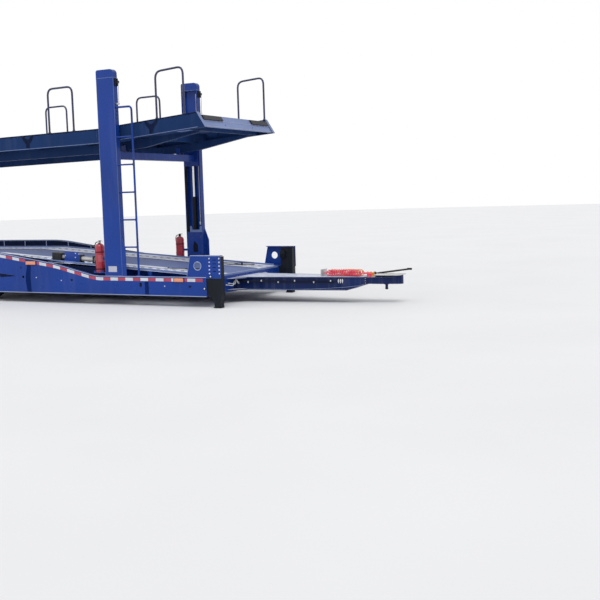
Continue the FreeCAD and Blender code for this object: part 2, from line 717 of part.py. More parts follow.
# ---- posts --------------------------------------------------------------------------------
def post(x, base, panel, gusset_sides):
    """Left post: channel open to the inside, capped, with a closed foot and gussets."""
    half = POST_WIDTH / 2
    inner = HALF - POST_DEPTH
    cap = POST_TOP - POST_CAP
    face = [(x + half, base), (x + half, POST_TOP, CAP_FRONT_BEND),
            (x - half, POST_TOP, CAP_REAR_BEND), (x - half, base)]
    web = side_plate(face, HALF - POST_WALL, HALF)
    walls = [box(x + half - POST_WALL, x + half, inner, HALF, base, cap),
             box(x - half, x - half + POST_WALL, inner, HALF, base, cap)]
    crown = side_plate(face, inner, HALF).common(
        box(x - half, x + half, inner, HALF, cap, POST_TOP))
    foot = box(x - half, x + half, inner, HALF, base, base + POST_WALL)
    cover = box(x - half, x + half, inner, inner + POST_WALL, base, base + panel)
    slot_low, slot_high = PANEL_SLOT_SPAN
    slot = box(x - PANEL_SLOT / 2, x + PANEL_SLOT / 2, inner - 1, inner + POST_WALL + 1,
               base + panel * slot_low, base + panel * slot_high)
    gussets = []
    for sign, outer in gusset_sides:
        edge = x + sign * half
        out = edge + sign * GUSSET_REACH
        outline = [(edge, base), (out, base), (out, base + outer),
                   (edge, base + outer + GUSSET_RISE)]
        gussets.append(side_plate(outline, HALF - POST_WALL, HALF))
    return joined([web, crown, foot, cover.cut(slot)] + walls + gussets)


def post_pulley(x):
    """Cable pulley in its fork on the front face of a left post, under the cap."""
    front = x + POST_WIDTH / 2
    top = POST_TOP - POST_CAP - PULLEY_DROP
    y = HALF - POST_DEPTH / 2
    half = PULLEY_RADIUS - FORK_PLATE
    fork = [box(front, front + PULLEY_OUT, y + side, y + side + FORK_PLATE, top - FORK_HEIGHT, top)
            for side in (-half - FORK_PLATE, half)]
    wheel = rod_y(front + PULLEY_OUT, y - half, y + half, top - FORK_HEIGHT / 2, PULLEY_RADIUS)
    return joined(fork + [wheel])


def barrel(x, base, length):
    """Left lifting cylinder's barrel, standing on the post's foot."""
    y = HALF - POST_DEPTH / 2
    foot = base + POST_WALL
    return rod_z(x, y, foot, foot + length, BARREL_RADIUS).cut(
        rod_z(x, y, foot + BARREL_BASE, foot + length + 1, ROD_RADIUS + RUNNING_GAP))


def beam_bottom(x):
    return upper_z(x) - UPPER_RAIL - UPPER_LONG_BEAM


def pin_z(x):
    return beam_bottom(x) + PIN_RISE


def front_yoke():
    """Underside of the yoke that the front rods push, level with the lift beam's underside."""
    return beam_bottom(-FRONT_POST_X) - LIFT_BEAM_GAP - LIFT_BEAM


def rear_yoke():
    return beam_bottom(-REAR_POST_X) + REAR_YOKE_RISE


def rear_barrel():
    """Length of the rear barrels, which end under the yoke at the end of its travel."""
    travel = LIFT_DOWN + TILT_DOWN + YOKE_CLEARANCE
    return rear_yoke() - travel - RAIL_HIGH - POST_WALL


def lift_beam(x, slider, yoke):
    """Cross beam between the posts with its two sliders, ears and pins, as one weldment."""
    top = beam_bottom(x) - LIFT_BEAM_GAP
    low = top - LIFT_BEAM - slider[0]
    high = top + slider[1]
    plate_y = HALF - POST_DEPTH - SLIDER_SIDE_GAP
    half = LIFT_BEAM / 2
    beam = box(x - half, x + half, -plate_y, plate_y, top - LIFT_BEAM, top)
    reach = POST_WIDTH / 2 - POST_WALL - SLIDER_GAP
    outer = HALF - POST_WALL - SLIDER_GAP
    pieces = [box(x - reach, x + reach, plate_y - SLIDER_PLATE, plate_y, low, high),
              box(x - reach, x + reach, plate_y, outer, yoke, yoke + YOKE_PLATE)]
    for edge in (x - reach, x + reach - SLIDER_BAR):
        pieces.append(box(edge, edge + SLIDER_BAR, plate_y, outer, low, high))
    side = UPPER_LONG_WIDTH / 2 + EAR_GAP
    near = UPPER_LONG_Y - side - EAR_PLATE
    far = UPPER_LONG_Y + side
    for y in (near, far):
        pieces.append(box(x - EAR_WIDTH / 2, x + EAR_WIDTH / 2, y, y + EAR_PLATE, top,
                          pin_z(x) + EAR_TOP))
    pieces.append(rod_y(x, near, far + EAR_PLATE, pin_z(x), PIN_RADIUS))
    left = joined(pieces)
    return joined([beam, left, mirrored(left)])


def lift_rod(x, low, yoke):
    return rod_z(x, HALF - POST_DEPTH / 2, low, yoke, ROD_RADIUS)


# ---- wheels and axles ---------------------------------------------------------------------
def tyre(x, y):
    half = TYRE_WIDTH / 2
    shoulder = TYRE_RADIUS * SHOULDER_SHARE
    tread = half * TREAD_SHARE
    bead = half * BEAD_SHARE
    section = [(RIM_RADIUS, y - bead), (shoulder, y - half), (TYRE_RADIUS, y - tread),
               (TYRE_RADIUS, y + tread), (shoulder, y + half), (RIM_RADIUS, y + bead)]
    return revolved(section, x, TYRE_RADIUS)


def twin_rim(x):
    """Left twin rim: one barrel with its disc in the middle, the hub and the brake drum."""
    edge = TWIN_SPACING / 2 + RIM_LIP
    bore = SPINDLE_RADIUS + RUNNING_GAP
    inside = RIM_RADIUS - RIM_WALL
    section = [
        (RIM_RADIUS, TWIN_MID - edge), (RIM_RADIUS, TWIN_MID + edge),
        (inside, TWIN_MID + edge), (inside, TWIN_MID + DISC_NOSE),
        (RIM_RADIUS - DISC_BOWL, TWIN_MID + DISC_BACK),
        (HUB_RADIUS + DISC_BACK, TWIN_MID + DISC_BACK),
        (HUB_RADIUS, TWIN_MID + HUB_NOSE), (bore, TWIN_MID + HUB_NOSE),
        (bore, TWIN_MID - HUB_BACK), (HUB_RADIUS, TWIN_MID - HUB_BACK),
        (HUB_RADIUS, TWIN_MID - DISC_BACK), (inside, TWIN_MID - DISC_BACK),
        (inside, TWIN_MID - edge),
    ]
    return revolved(section, x, TYRE_RADIUS)


def axle(x):
    """Square axle tube with its spindles and brake backing plates."""
    drum_out = TWIN_MID - HUB_BACK - DRUM_GAP
    drum_in = drum_out - DRUM_WIDTH
    half = AXLE_TUBE / 2
    z = TYRE_RADIUS
    spindle = rod_y(x, drum_in, TWIN_MID + HUB_NOSE - SPINDLE_SHORT, z, SPINDLE_RADIUS)
    plate = rod_y(x, drum_in, drum_out, z, DRUM_RADIUS)
    return joined([box(x - half, x + half, -drum_in, drum_in, z - half, z + half)]
                  + both_sides(spindle) + both_sides(plate))


def leaf_springs():
    """Left pair of leaf springs between hangers under the main beam."""
    z = TYRE_RADIUS + AXLE_TUBE / 2
    near = MAIN_BEAM_Y - SPRING_WIDTH / 2
    far = MAIN_BEAM_Y + SPRING_WIDTH / 2
    end = AXLE_SPACING / 2 - SPRING_END_GAP
    half = HANGER_LENGTH / 2
    eye = z + SPRING_CAMBER
    solids = []
    for side, x in AXLES:
        spring = [(x - end, eye), (x - SPRING_SEAT, z), (x + SPRING_SEAT, z), (x + end, eye),
                  (x + end, eye + SPRING_LEAVES), (x, z + SPRING_STACK),
                  (x - end, eye + SPRING_LEAVES)]
        solids.append(side_plate(spring, near, far))
        for place in (x - end, x + end):
            solids.append(box(place - half, place + half, near - HANGER_CHEEK,
                              far + HANGER_CHEEK, eye - WEB, OVER_AXLE))
    middle = -AXLE_X - AXLE_SPACING / 2
    solids.append(box(middle - SPRING_END_GAP, middle + SPRING_END_GAP, near, far,
                      eye - WEB / 2, OVER_AXLE))
    return joined(solids)


# ---- fittings -----------------------------------------------------------------------------
def ladder():
    """Right-hand ladder: one stile and rungs that reach the front post."""
    half = LADDER_TUBE / 2
    rung = LADDER_RUNG / 2
    y = -(HALF - LADDER_INSET)
    face = -FRONT_POST_X + POST_WIDTH / 2
    stile = face + LADDER_REACH
    top = RAIL_LOW + LADDER_TOP
    pieces = [box(stile - half, stile + half, y - half, y + half, RAIL_LOW, top),
              box(face, stile, y - half, y + half, top - LADDER_TUBE, top)]
    for index in range(LADDER_RUNGS):
        z = RAIL_LOW + LADDER_FIRST + LADDER_PITCH * index
        pieces.append(box(face, stile, y - rung, y + rung, z - rung, z + rung))
    return joined(pieces)


def fire_extinguisher():
    """Left extinguisher on its shelf behind the front post."""
    back = -FRONT_POST_X - POST_WIDTH / 2
    x = back - BOTTLE_BACK
    y = HALF - BOTTLE_INSET
    base = RAIL_LOW + BOTTLE_RISE
    edge = y + SHELF_HALF
    strap = base + BOTTLE_HEIGHT / 2
    shelf = joined([
        box(x - BOTTLE_RADIUS - SHELF_REACH, back, y - SHELF_HALF, edge, base - SHELF, base),
        box(back - SHELF, back, y, edge, base - SHELF, strap + STRAP_HEIGHT),
        box(x, back, y - STRAP_HALF, y + STRAP_HALF, strap, strap + STRAP_HEIGHT),
    ])
    shoulder = base + BOTTLE_HEIGHT
    neck = shoulder + BOTTLE_SHOULDER
    return joined([
        shelf,
        rod_z(x, y, base, shoulder, BOTTLE_RADIUS),
        Part.makeCone(BOTTLE_RADIUS, BOTTLE_VALVE, BOTTLE_SHOULDER, V(x, y, shoulder),
                      V(0, 0, 1)),
        rod_z(x, y, neck, neck + BOTTLE_SHOULDER, BOTTLE_VALVE),
    ])


def winch():
    """Strap winch on the right-hand track: base, gearbox, guard plate and drum, on the slope."""
    half = WINCH_WIDTH / 2
    y = -(HALF - TRACK_EDGE_GAP - half)
    cheek = half - PLATE
    gearbox = DRUM_START - WINCH_COLLAR_LENGTH
    drum_end = WINCH_LENGTH - WINCH_TAIL
    guard_end = DRUM_START + WINCH_GUARD
    pieces = [
        box(0.0, WINCH_LENGTH, y - half, y + half, 0.0, WINCH_BASE),
        box(0.0, gearbox, y - cheek, y + cheek, WINCH_BASE, WINCH_AXIS + half),
        rod_x(gearbox, DRUM_START, y, WINCH_AXIS, WINCH_COLLAR),
        box(DRUM_START, guard_end, y - cheek, y - cheek + WINCH_BASE, WINCH_BASE,
            WINCH_AXIS + WINCH_GUARD_RISE),
        rod_x(DRUM_START, drum_end, y, WINCH_AXIS, DRUM_TUBE),
    ]
    for x in (DRUM_START, guard_end - DRUM_PLATE, drum_end - DRUM_PLATE):
        pieces.append(box(x, x + DRUM_PLATE, y - WINCH_CHEEK_HALF, y + WINCH_CHEEK_HALF,
                          WINCH_BASE, WINCH_AXIS + WINCH_CHEEK_RISE))
    solid = joined(pieces)
    angle = math.degrees(math.atan2(DECK_HIGH - DECK_LOW, DECK_CLIMB_END - DECK_FRONT))
    solid.rotate(V(0, 0, 0), V(0, 1, 0), angle)
    solid.translate(V(-WINCH_X, 0.0, deck_z(-WINCH_X)))
    return solid


def air_tank(y):
    """Air reservoir hung lengthwise from two cross members by its straps."""
    places = member_places()
    front = places[AIR_TANK_BAY]
    rear = places[AIR_TANK_BAY + 1]
    half = AIR_TANK_STRAP / 2
    z = member_top(front) - MEMBER_DEPTH - AIR_TANK_DROP - AIR_TANK_RADIUS
    pieces = [rod_x(rear - AIR_TANK_OVER, front + AIR_TANK_OVER, y, z, AIR_TANK_RADIUS)]
    for x in (front, rear):
        pieces.append(box(x - half, x + half, y - AIR_TANK_STRAP_HALF, y + AIR_TANK_STRAP_HALF,
                          z, member_top(x) - MEMBER_DEPTH))
    return joined(pieces)


def ramp_width():
    return MAIN_BEAM_EDGE - RAMP_SIDE_GAP - RAMP_MIDDLE_GAP / 2


def loading_ramp(y):
    """Ladder-pattern ramp lying in its carriers under the rear deck."""
    rear = -BODY_LENGTH + WEB
    top = RAMP_LOW + RAMP_DEPTH
    half = ramp_width() / 2
    pieces = [box(rear, rear + RAMP_LENGTH, y + low, y + low + RAMP_STILE, RAMP_LOW, top)
              for low in (-half, half - RAMP_STILE)]
    pitch = (RAMP_LENGTH - 3 * RAMP_STEP) / (RAMP_STEPS - 1)
    for index in range(RAMP_STEPS):
        x = rear + RAMP_STEP + index * pitch
        pieces.append(box(x, x + RAMP_STEP, y - half + RAMP_STILE, y + half - RAMP_STILE,
                          RAMP_LOW + RAMP_STEP_INSET, top - RAMP_STEP_INSET))
    return joined(pieces)


def ramp_carriers():
    rears = [-BODY_LENGTH + place for place in CARRIER_PLACES]
    return [box(x, x + CARRIER_WIDTH, -MAIN_BEAM_EDGE, MAIN_BEAM_EDGE, RAMP_LOW - CARRIER,
                RAMP_LOW) for x in rears]


def rear_bumper():
    rear = -BODY_LENGTH + WEB
    reach = HALF - BUMPER_END_GAP
    top = BUMPER_BOTTOM + BUMPER_HEIGHT
    bar = box(rear, rear + BUMPER_DEPTH, -reach, reach, BUMPER_BOTTOM, top)
    hangers = [box(rear, rear + BUMPER_DEPTH, y - POST_WALL, y + POST_WALL, top,
                   REAR_BEAM_BOTTOM) for y in (-BUMPER_HANGER_Y, BUMPER_HANGER_Y)]
    return joined([bar] + hangers)


def tail_lamp():
    rear = -BODY_LENGTH + WEB
    low = REAR_BEAM_BOTTOM + LAMP_RISE
    return box(rear - LAMP_DEPTH, rear, HALF - LAMP_ENDS[1], HALF - LAMP_ENDS[0], low,
               low + LAMP_HEIGHT)


# ---- upper deck ---------------------------------------------------------------------------
def upper_rail():
    """Left rail: channel in two lengths that meet at the bend, with a slanted front end."""
    outline = [(0.0, UPPER_FRONT_TOP - UPPER_RAIL)]
    outline += list(UPPER_KNEES)
    outline += [(-UPPER_REAR, UPPER_REAR_TOP - UPPER_RAIL),
                (-UPPER_KNEE_X, UPPER_KNEE_TOP - UPPER_RAIL)]
    web = side_plate(outline, UPPER_HALF - WEB, UPPER_HALF)
    rail = joined([web, rim_plate(outline, UPPER_INNER, UPPER_HALF, WEB)])
    return parted(rail, [-UPPER_KNEE_X])


def upper_places():
    """Places of the upper deck's cross members, from the front beam to the rear one."""
    first = UPPER_FRONT_X + UPPER_END_GAP
    span = UPPER_REAR - UPPER_END_GAP - first
    count = round(span / UPPER_PITCH)
    return [-first - index * span / count for index in range(count + 1)]


def upper_members():
    """Cross members from rail to rail, seated on the long beams and over the rails' lips."""
    half = UPPER_MEMBER / 2
    beams = upper_long_beams()
    solids = []
    for x in upper_places():
        ends = (upper_z(x - half), upper_z(x + half))
        top = min(ends) - UPPER_DECK_DROP - PLATE
        low = min(ends) - UPPER_RAIL - PLATE
        lip = max(ends) - UPPER_RAIL + WEB + 1
        reach = UPPER_HALF - WEB
        whole = joined([box(x - half, x + half, -reach, reach, lip, top),
                        box(x - half, x + half, -UPPER_INNER, UPPER_INNER, low, top)])
        solids += whole.cut(beams).Solids
    return solids


def upper_long_beams():
    """Two long beams under the cross members, bored for the front pins, slotted at the rear."""
    places = upper_places()
    knees = [(places[0], upper_z(places[0])), UPPER_KNEES[1], (places[-1], upper_z(places[-1]))]
    half = UPPER_LONG_WIDTH / 2
    y0 = UPPER_LONG_Y - half
    y1 = UPPER_LONG_Y + half
    beam = deck_strip(knees, UPPER_RAIL, UPPER_LONG_BEAM, y0, y1)
    tip = places[0]
    full = tip - UPPER_LONG_TAPER
    beam = beam.cut(side_plate([(tip, upper_z(tip) - UPPER_RAIL - UPPER_LONG_TIP),
                                (full, beam_bottom(full)), (full, beam_bottom(full) - 1),
                                (tip + 1, beam_bottom(full) - 1)], y0 - 1, y1 + 1))
    x = -REAR_POST_X
    z = pin_z(x)
    radius = PIN_RADIUS + PIN_SLOT_GAP
    reach = PIN_SLOT / 2
    cuts = [rod_y(-FRONT_POST_X, y0 - 1, y1 + 1, pin_z(-FRONT_POST_X), PIN_RADIUS + RUNNING_GAP),
            rod_y(x - reach, y0 - 1, y1 + 1, z, radius),
            rod_y(x + reach, y0 - 1, y1 + 1, z, radius),
            box(x - reach, x + reach, y0 - 1, y1 + 1, z - radius, z + radius)]
    lengths = parted(beam.cut(cuts), [-UPPER_KNEE_X])
    return lengths + [mirrored(length) for length in lengths]


def upper_track():
    front = -UPPER_FRONT_X - TRACK_FRONT_GAP
    rear = -UPPER_REAR + TRACK_REAR_GAP
    knees = [(front, upper_z(front)), UPPER_KNEES[1], (rear, upper_z(rear))]
    track = deck_strip(knees, UPPER_DECK_DROP, PLATE, UPPER_TRACK_INNER, UPPER_INNER - PLATE)
    return parted(track, [-UPPER_KNEE_X])


def end_face(z):
    """Place of the front beam's slanted face at height z, just behind the rails' end flange."""
    return -UPPER_FRONT_X * (z - UPPER_FRONT_TOP + UPPER_RAIL) / UPPER_RAIL - 1.5 * WEB


def slanted(low, top, back, front, y0, y1):
    """Bar across the deck's end, slanted like the rails' ends."""
    outline = [(end_face(low) + front, low), (end_face(top) + front, top),
               (end_face(top) + back, top), (end_face(low) + back, low)]
    return side_plate(outline, y0, y1)


def upper_front_beam():
    reach = UPPER_HALF - WEB
    return slanted(UPPER_FRONT_TOP - UPPER_RAIL + WEB, UPPER_FRONT_TOP - WEB - UPPER_BEAM_DROP,
                   -UPPER_BEAM, 0.0, -reach, reach)


def upper_rear_beam():
    rear = -UPPER_REAR + WEB
    reach = UPPER_HALF - WEB
    return box(rear, rear + UPPER_BEAM, -reach, reach, UPPER_REAR_TOP - UPPER_RAIL + 2 * WEB,
               UPPER_REAR_TOP - WEB - UPPER_BEAM_DROP)


def deck_buffer():
    """Left rubber buffer on the front beam's face."""
    top = UPPER_FRONT_TOP - WEB - UPPER_BEAM_DROP - WEB / 2
    outer, inner = BUFFER_ENDS
    return slanted(top - BUFFER_HEIGHT, top, 0.0, BUFFER_PROUD, UPPER_HALF - inner,
                   UPPER_HALF - outer)


def guard_hoop(x):
    """Left guard hoop on the rail's top flange."""
    y = UPPER_HALF - UPPER_RAIL_FLANGE / 2
    legs = []
    for leg_x in (x - HOOP_WIDTH / 2, x + HOOP_WIDTH / 2):
        seat = max(upper_z(leg_x - HOOP_TUBE), upper_z(leg_x + HOOP_TUBE)) + RUNNING_GAP
        legs.append(V(leg_x, y, seat))
    rear, front = legs
    shoulder = V(0, 0, HOOP_HEIGHT - HOOP_BEND)
    top = V(0, 0, HOOP_HEIGHT)
    inwards = V(HOOP_BEND, 0, 0)
    route = [rear, rear + shoulder, rear + top + inwards, front + top - inwards,
             front + shoulder, front]
    return mitred(route, HOOP_TUBE, HOOP_SIDES)


# ---- hoses --------------------------------------------------------------------------------
def hose_points(y):
    """Route of a curly hose lying on the drawbar, bowed to the left between its two ends."""
    middle = HOSE_START + HOSE_LENGTH / 2
    end = HOSE_START + HOSE_LENGTH
    return [V(HOSE_START, y, HOSE_Z), V(HOSE_START + HOSE_STRAIGHT, y, HOSE_Z),
            V(middle, y + HOSE_BOW, HOSE_Z), V(end - HOSE_STRAIGHT, y, HOSE_Z),
            V(end, y, HOSE_Z)]


def hose_bends(points):
    bends = []
    for before, corner, after in zip(points, points[1:], points[2:]):
        shorter = min(before.distanceToPoint(corner), after.distanceToPoint(corner))
        turn = math.pi - (before - corner).getAngle(after - corner)
        bends.append(HOSE_BEND_SHARE * shorter / math.tan(turn / 2))
    return bends


def air_hose(y):
    points = hose_points(y)
    bends = hose_bends(points)
    print("hose bend radii", [round(bend) for bend in bends])
    return sweep(points, HOSE_RADIUS, bends)


def hose_bracket():
    """Upright plate with a boss for each hose."""
    rear = HOSE_START - BRACKET_BACK
    plate = box(rear, rear + BRACKET_PLATE, -BRACKET_SIZE, BRACKET_SIZE, DRAWBAR_TOP,
                DRAWBAR_TOP + BRACKET_SIZE)
    bosses = [rod_x(rear - BRACKET_PLATE, HOSE_START, y, HOSE_Z, HOSE_BOSS)
              for y in (-HOSE_SPACING / 2, HOSE_SPACING / 2)]
    return joined([plate] + bosses)


def hose_coupling(y):
    """Coupling head on a hose's front end, lying on the drawbar head."""
    end = HOSE_START + HOSE_LENGTH
    head = end + 2 * COUPLING_RADIUS + POST_WALL
    return joined([rod_x(end, head, y, HOSE_Z, COUPLING_NECK),
                   rod_z(head + COUPLING_NECK, y, DRAWBAR_TOP + HOSE_LIFT,
                         HOSE_Z + COUPLING_NECK, COUPLING_RADIUS)])


# ---- nodes --------------------------------------------------------------------------------
def chassis_nodes():
    tank_y = AIR_TANK_SPACING / 2
    ramp_y = (ramp_width() + RAMP_MIDDLE_GAP) / 2
    nodes = {
        "side_beam_left": [side_beam()],
        "side_beam_right": [mirrored(side_beam())],
        "main_beams": both_sides(main_beam()),
        "main_frame": [solid for x in member_places() for solid in cross_member(x)],
        "lower_track_left": lower_track(),
        "lower_track_right": [mirrored(length) for length in lower_track()],
        "centre_plate": centre_plate(),
        "front_crossbeam": [front_crossbeam()],
        "rear_crossbeam": [rear_crossbeam()],
        "jack_brackets": both_sides(jack_bracket()),
        "jacks": both_sides(jack()),
        "drawbar": [drawbar()],
        "drawbar_head": [drawbar_head()],
        "coupling_lever": [coupling_lever()],
        "post_pulleys": both_sides(post_pulley(-FRONT_POST_X))
        + both_sides(post_pulley(-REAR_POST_X)),
        "lift_cylinders": both_sides(barrel(-FRONT_POST_X, RAIL_LOW, FRONT_BARREL))
        + both_sides(barrel(-REAR_POST_X, RAIL_HIGH, rear_barrel())),
        "ladder": [ladder()],
        "fire_extinguishers": both_sides(fire_extinguisher()),
        "winch": [winch()],
        "axle_front": [axle(AXLES[0][1])],
        "axle_rear": [axle(AXLES[1][1])],
        "leaf_springs": both_sides(leaf_springs()),
        "air_tanks": [air_tank(-tank_y), air_tank(tank_y)],
        "loading_ramps": [loading_ramp(-ramp_y), loading_ramp(ramp_y)],
        "ramp_carriers": ramp_carriers(),
        "rear_bumper": [rear_bumper()],
        "tail_lamps": both_sides(tail_lamp()),
        "hose_bracket": [hose_bracket()],
        "red_air_hose": [air_hose(-HOSE_SPACING / 2)],
        "yellow_air_hose": [air_hose(HOSE_SPACING / 2)],
        "red_hose_coupling": [hose_coupling(-HOSE_SPACING / 2)],
        "yellow_hose_coupling": [hose_coupling(HOSE_SPACING / 2)],
    }
    ahead = (1.0, GUSSET_FRONT)
    behind = (-1.0, GUSSET_REAR)
    for end, x, base, panel, sides in (
            ("front", -FRONT_POST_X, RAIL_LOW, FRONT_PANEL, [ahead]),
            ("rear", -REAR_POST_X, RAIL_HIGH, REAR_PANEL, [ahead, behind])):
        solid = post(x, base, panel, sides)
        nodes[end + "_post_left"] = [solid]
        nodes[end + "_post_right"] = [mirrored(solid)]
    return nodes


def wheel_nodes():
    nodes = {}
    for end, x in AXLES:
        tyres = [tyre(x, TWIN_MID - TWIN_SPACING / 2), tyre(x, TWIN_MID + TWIN_SPACING / 2)]
        rim = twin_rim(x)
        nodes["tyres_" + end + "_left"] = tyres
        nodes["tyres_" + end + "_right"] = [mirrored(solid) for solid in tyres]
        nodes["rim_" + end + "_left"] = [rim]
        nodes["rim_" + end + "_right"] = [mirrored(rim)]
    return nodes


def carriage_nodes():
    front = -FRONT_POST_X
    rear = -REAR_POST_X
    front_rod = RAIL_LOW + POST_WALL + BARREL_BASE + LIFT_DOWN + ROD_FOOT
    rear_rod = RAIL_HIGH + POST_WALL + rear_barrel() - ROD_GUIDE
    return {
        "front_lift_beam": [lift_beam(front, FRONT_SLIDER, front_yoke())],
        "front_lift_rods": both_sides(lift_rod(front, front_rod, front_yoke())),
        "rear_lift_beam": [lift_beam(rear, REAR_SLIDER, rear_yoke())],
        "rear_lift_rods": both_sides(lift_rod(rear, rear_rod, rear_yoke())),
    }


def upper_nodes():
    track = upper_track()
    rail = upper_rail()
    places = [-HOOP_FIRST - HOOP_PITCH * index for index in range(HOOP_COUNT)]
    return {
        "upper_rail_left": rail,
        "upper_rail_right": [mirrored(length) for length in rail],
        "upper_long_beams": upper_long_beams(),
        "upper_frame": upper_members(),
        "upper_track_left": track,
        "upper_track_right": [mirrored(length) for length in track],
        "upper_front_beam": [upper_front_beam()],
        "upper_rear_beam": [upper_rear_beam()],
        "deck_buffers": both_sides(deck_buffer()),
        "guard_hoops_left": [guard_hoop(place + HOOP_LEFT_FORWARD) for place in places],
        "guard_hoops_right": [mirrored(guard_hoop(place)) for place in places],
    }


def write(nodes):
    os.makedirs("parts", exist_ok=True)
    for name, shapes in nodes.items():
        solids = [solid for shape in shapes for solid in shape.Solids]
        shape = solids[0] if len(solids) == 1 else Part.makeCompound(solids)
        shape = shape.copy()
        shape.translate(V(-X_MIDDLE, 0, 0))
        shape.exportStep("parts/" + name + ".step")
        bounds = shape.BoundBox
        print("%-24s %d solids  x %.0f..%.0f  y %.0f..%.0f  z %.0f..%.0f  %s" % (
            name, len(solids), bounds.XMin, bounds.XMax, bounds.YMin, bounds.YMax,
            bounds.ZMin, bounds.ZMax, "" if shape.isValid() else "INVALID"))


for group in (chassis_nodes, wheel_nodes, carriage_nodes, upper_nodes):
    write(group())
print("x offset", X_MIDDLE, "overall length", OVERALL_FRONT - OVERALL_REAR)
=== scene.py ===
"""Looks of a two-deck car transporter drawbar trailer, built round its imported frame, in metres."""
import math

import bpy
from bpy.props import (BoolProperty, FloatProperty, FloatVectorProperty, IntProperty,
    PointerProperty)
from mathutils import Matrix, Vector


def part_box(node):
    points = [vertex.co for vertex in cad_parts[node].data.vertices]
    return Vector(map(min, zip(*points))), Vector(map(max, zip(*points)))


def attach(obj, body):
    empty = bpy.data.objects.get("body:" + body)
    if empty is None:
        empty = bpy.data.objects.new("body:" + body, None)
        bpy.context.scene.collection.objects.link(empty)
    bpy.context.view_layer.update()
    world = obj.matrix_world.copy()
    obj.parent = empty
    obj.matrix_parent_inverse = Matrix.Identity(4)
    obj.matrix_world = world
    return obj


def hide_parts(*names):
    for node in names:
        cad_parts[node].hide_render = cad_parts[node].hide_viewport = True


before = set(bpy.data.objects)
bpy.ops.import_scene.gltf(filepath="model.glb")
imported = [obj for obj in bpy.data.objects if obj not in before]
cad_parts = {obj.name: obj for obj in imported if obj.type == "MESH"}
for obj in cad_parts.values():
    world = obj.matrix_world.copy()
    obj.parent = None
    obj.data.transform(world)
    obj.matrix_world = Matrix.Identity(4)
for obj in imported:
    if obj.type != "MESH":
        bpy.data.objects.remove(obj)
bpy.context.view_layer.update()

bl_info = {
    "name": "Car transporter trailer",
    "version": (1, 0, 0),
    "blender": (4, 5, 0),
    "location": "3D View > Sidebar > Trailer",
    "description": "Adds the finishes and fitted detail of a two-deck car transporter trailer",
    "category": "Add Mesh",
}

SKIN = 0.0008               # how deep fitted detail sits in the face that carries it
HALF_WIDTH = 1.275          # outer face of the side beams and posts
FACE = HALF_WIDTH - SKIN
RAIL_FACE = 1.135           # outer face of the upper deck's rails
FRONT_POST = 1.375
REAR_POST = -4.625
POST_HALF = 0.1725
POST_INNER = 1.175
POST_MIDDLE = 1.225         # middle of the open channel
SKIRT_LOW = 0.17
AXLE_PLACES = (("front", -1.75), ("rear", -3.05))
WHEEL_HEIGHT = 0.3835
TYRE_RADIUS = 0.3835
RIM_RADIUS = 0.222
TWIN_MIDDLE = 1.007
TWIN_HALF = 0.1225
DRAWBAR_TOP = 0.41
TRACK_DROP = 0.075          # the upper tracks lie this far under the rails' edge
RAIL_KNEES = ((-6.0, 0.7), (-5.0, 0.96), (-1.83, 0.96), (0.135, 0.676), (0.985, 0.48),
    (3.15, 0.48))
UPPER_KNEES = ((-5.9, 2.77), (1.05, 2.885), (3.0, 3.04))
DECK_KNEES = ((-6.0, 0.6), (-5.0, 0.812), (-1.65, 0.812), (3.09, 0.48))


# ---- sizes and colours a user would change -----------------------------------------------
def colour(name, description, value):
    return FloatVectorProperty(name=name, description=description, subtype="COLOR", size=3,
        min=0.0, max=1.0, default=value)


def length(name, description, value, low=0.0, high=10.0):
    return FloatProperty(name=name, description=description, unit="LENGTH", default=value, min=low,
        max=high)


class TrailerPaint(bpy.types.PropertyGroup):
    body: colour("Body", "Gloss paint of the beams, posts and drawbar", (0.007, 0.042, 0.26))
    rail: colour("Upper rails", "Paint of the upper deck's frame", (0.01, 0.034, 0.118))
    deck: colour("Wheel tracks", "Paint of the wheel tracks", (0.075, 0.12, 0.31))
    # Lighter blue than the body, for the end beams and top plates.
    pale: colour("Pale paint", "Lighter blue paint of end beams and top plates",
        (0.15, 0.215, 0.44))
    worn: colour("Worn paint", "Paint rubbed pale along the edges", (0.21, 0.27, 0.45))
    # Dust colour, which on upward faces also stands in for painted sky sheen on the gloss paint.
    dust: colour("Dust", "Film of dust and painted sky sheen on upward faces", (0.52, 0.54, 0.62))
    black: colour("Black parts", "Satin black of jacks, springs and gearbox", (0.01, 0.013, 0.019))
    wear: FloatProperty(name="Wear", description="How far the edges are rubbed", default=0.6,
        min=0.0, max=1.0, subtype="FACTOR")


class TrailerStripes(bpy.types.PropertyGroup):
    block: length("Block length", "Length of one red or white block of the tape", 0.15)
    height: length("Tape height", "Height of the reflective tape", 0.052)
    drop: length("Tape drop", "Tape's top below the rail's edge", 0.024)
    red: colour("Red", "Red blocks of the tape", (0.38, 0.026, 0.06))
    white: colour("White", "White blocks of the tape", (0.6, 0.63, 0.69))
    amber: colour("Amber", "Side marker lamps", (0.76, 0.27, 0.15))


class TrailerTyres(bpy.types.PropertyGroup):
    grooves: IntProperty(name="Grooves", description="Grooves round the tread", default=4, min=2,
        max=6)
    depth: length("Groove depth", "Depth of the tread's grooves", 0.01, 0.002, 0.02)
    silver: colour("Rims", "Silver paint of the rims", (0.52, 0.53, 0.56))


class TrailerHoses(bpy.types.PropertyGroup):
    turns: IntProperty(name="Turns", description="Turns of each curly hose", default=20, min=8,
        max=30)
    tube: length("Tube", "Outer diameter of the hose's tube", 0.014, 0.008, 0.02)
    # The red is shifted towards pink as painted highlight on the glossy coils.
    red: colour("Red hose", "Emergency line", (0.8, 0.045, 0.11))
    yellow: colour("Yellow hose", "Service line", (0.83, 0.3, 0.04))


class TrailerView(bpy.types.PropertyGroup):
    lens: FloatProperty(name="Lens", description="Focal length of the camera in millimetres",
        default=58.4, min=20.0, max=200.0)
    floor: colour("Floor", "Plain floor", (0.88, 0.885, 0.9))
    daylight: FloatProperty(name="Daylight", description="Strength of the even daylight",
        default=0.62, min=0.0, max=2.0)
    backdrop: BoolProperty(name="White backdrop", description="Show the surroundings as white",
        default=True)


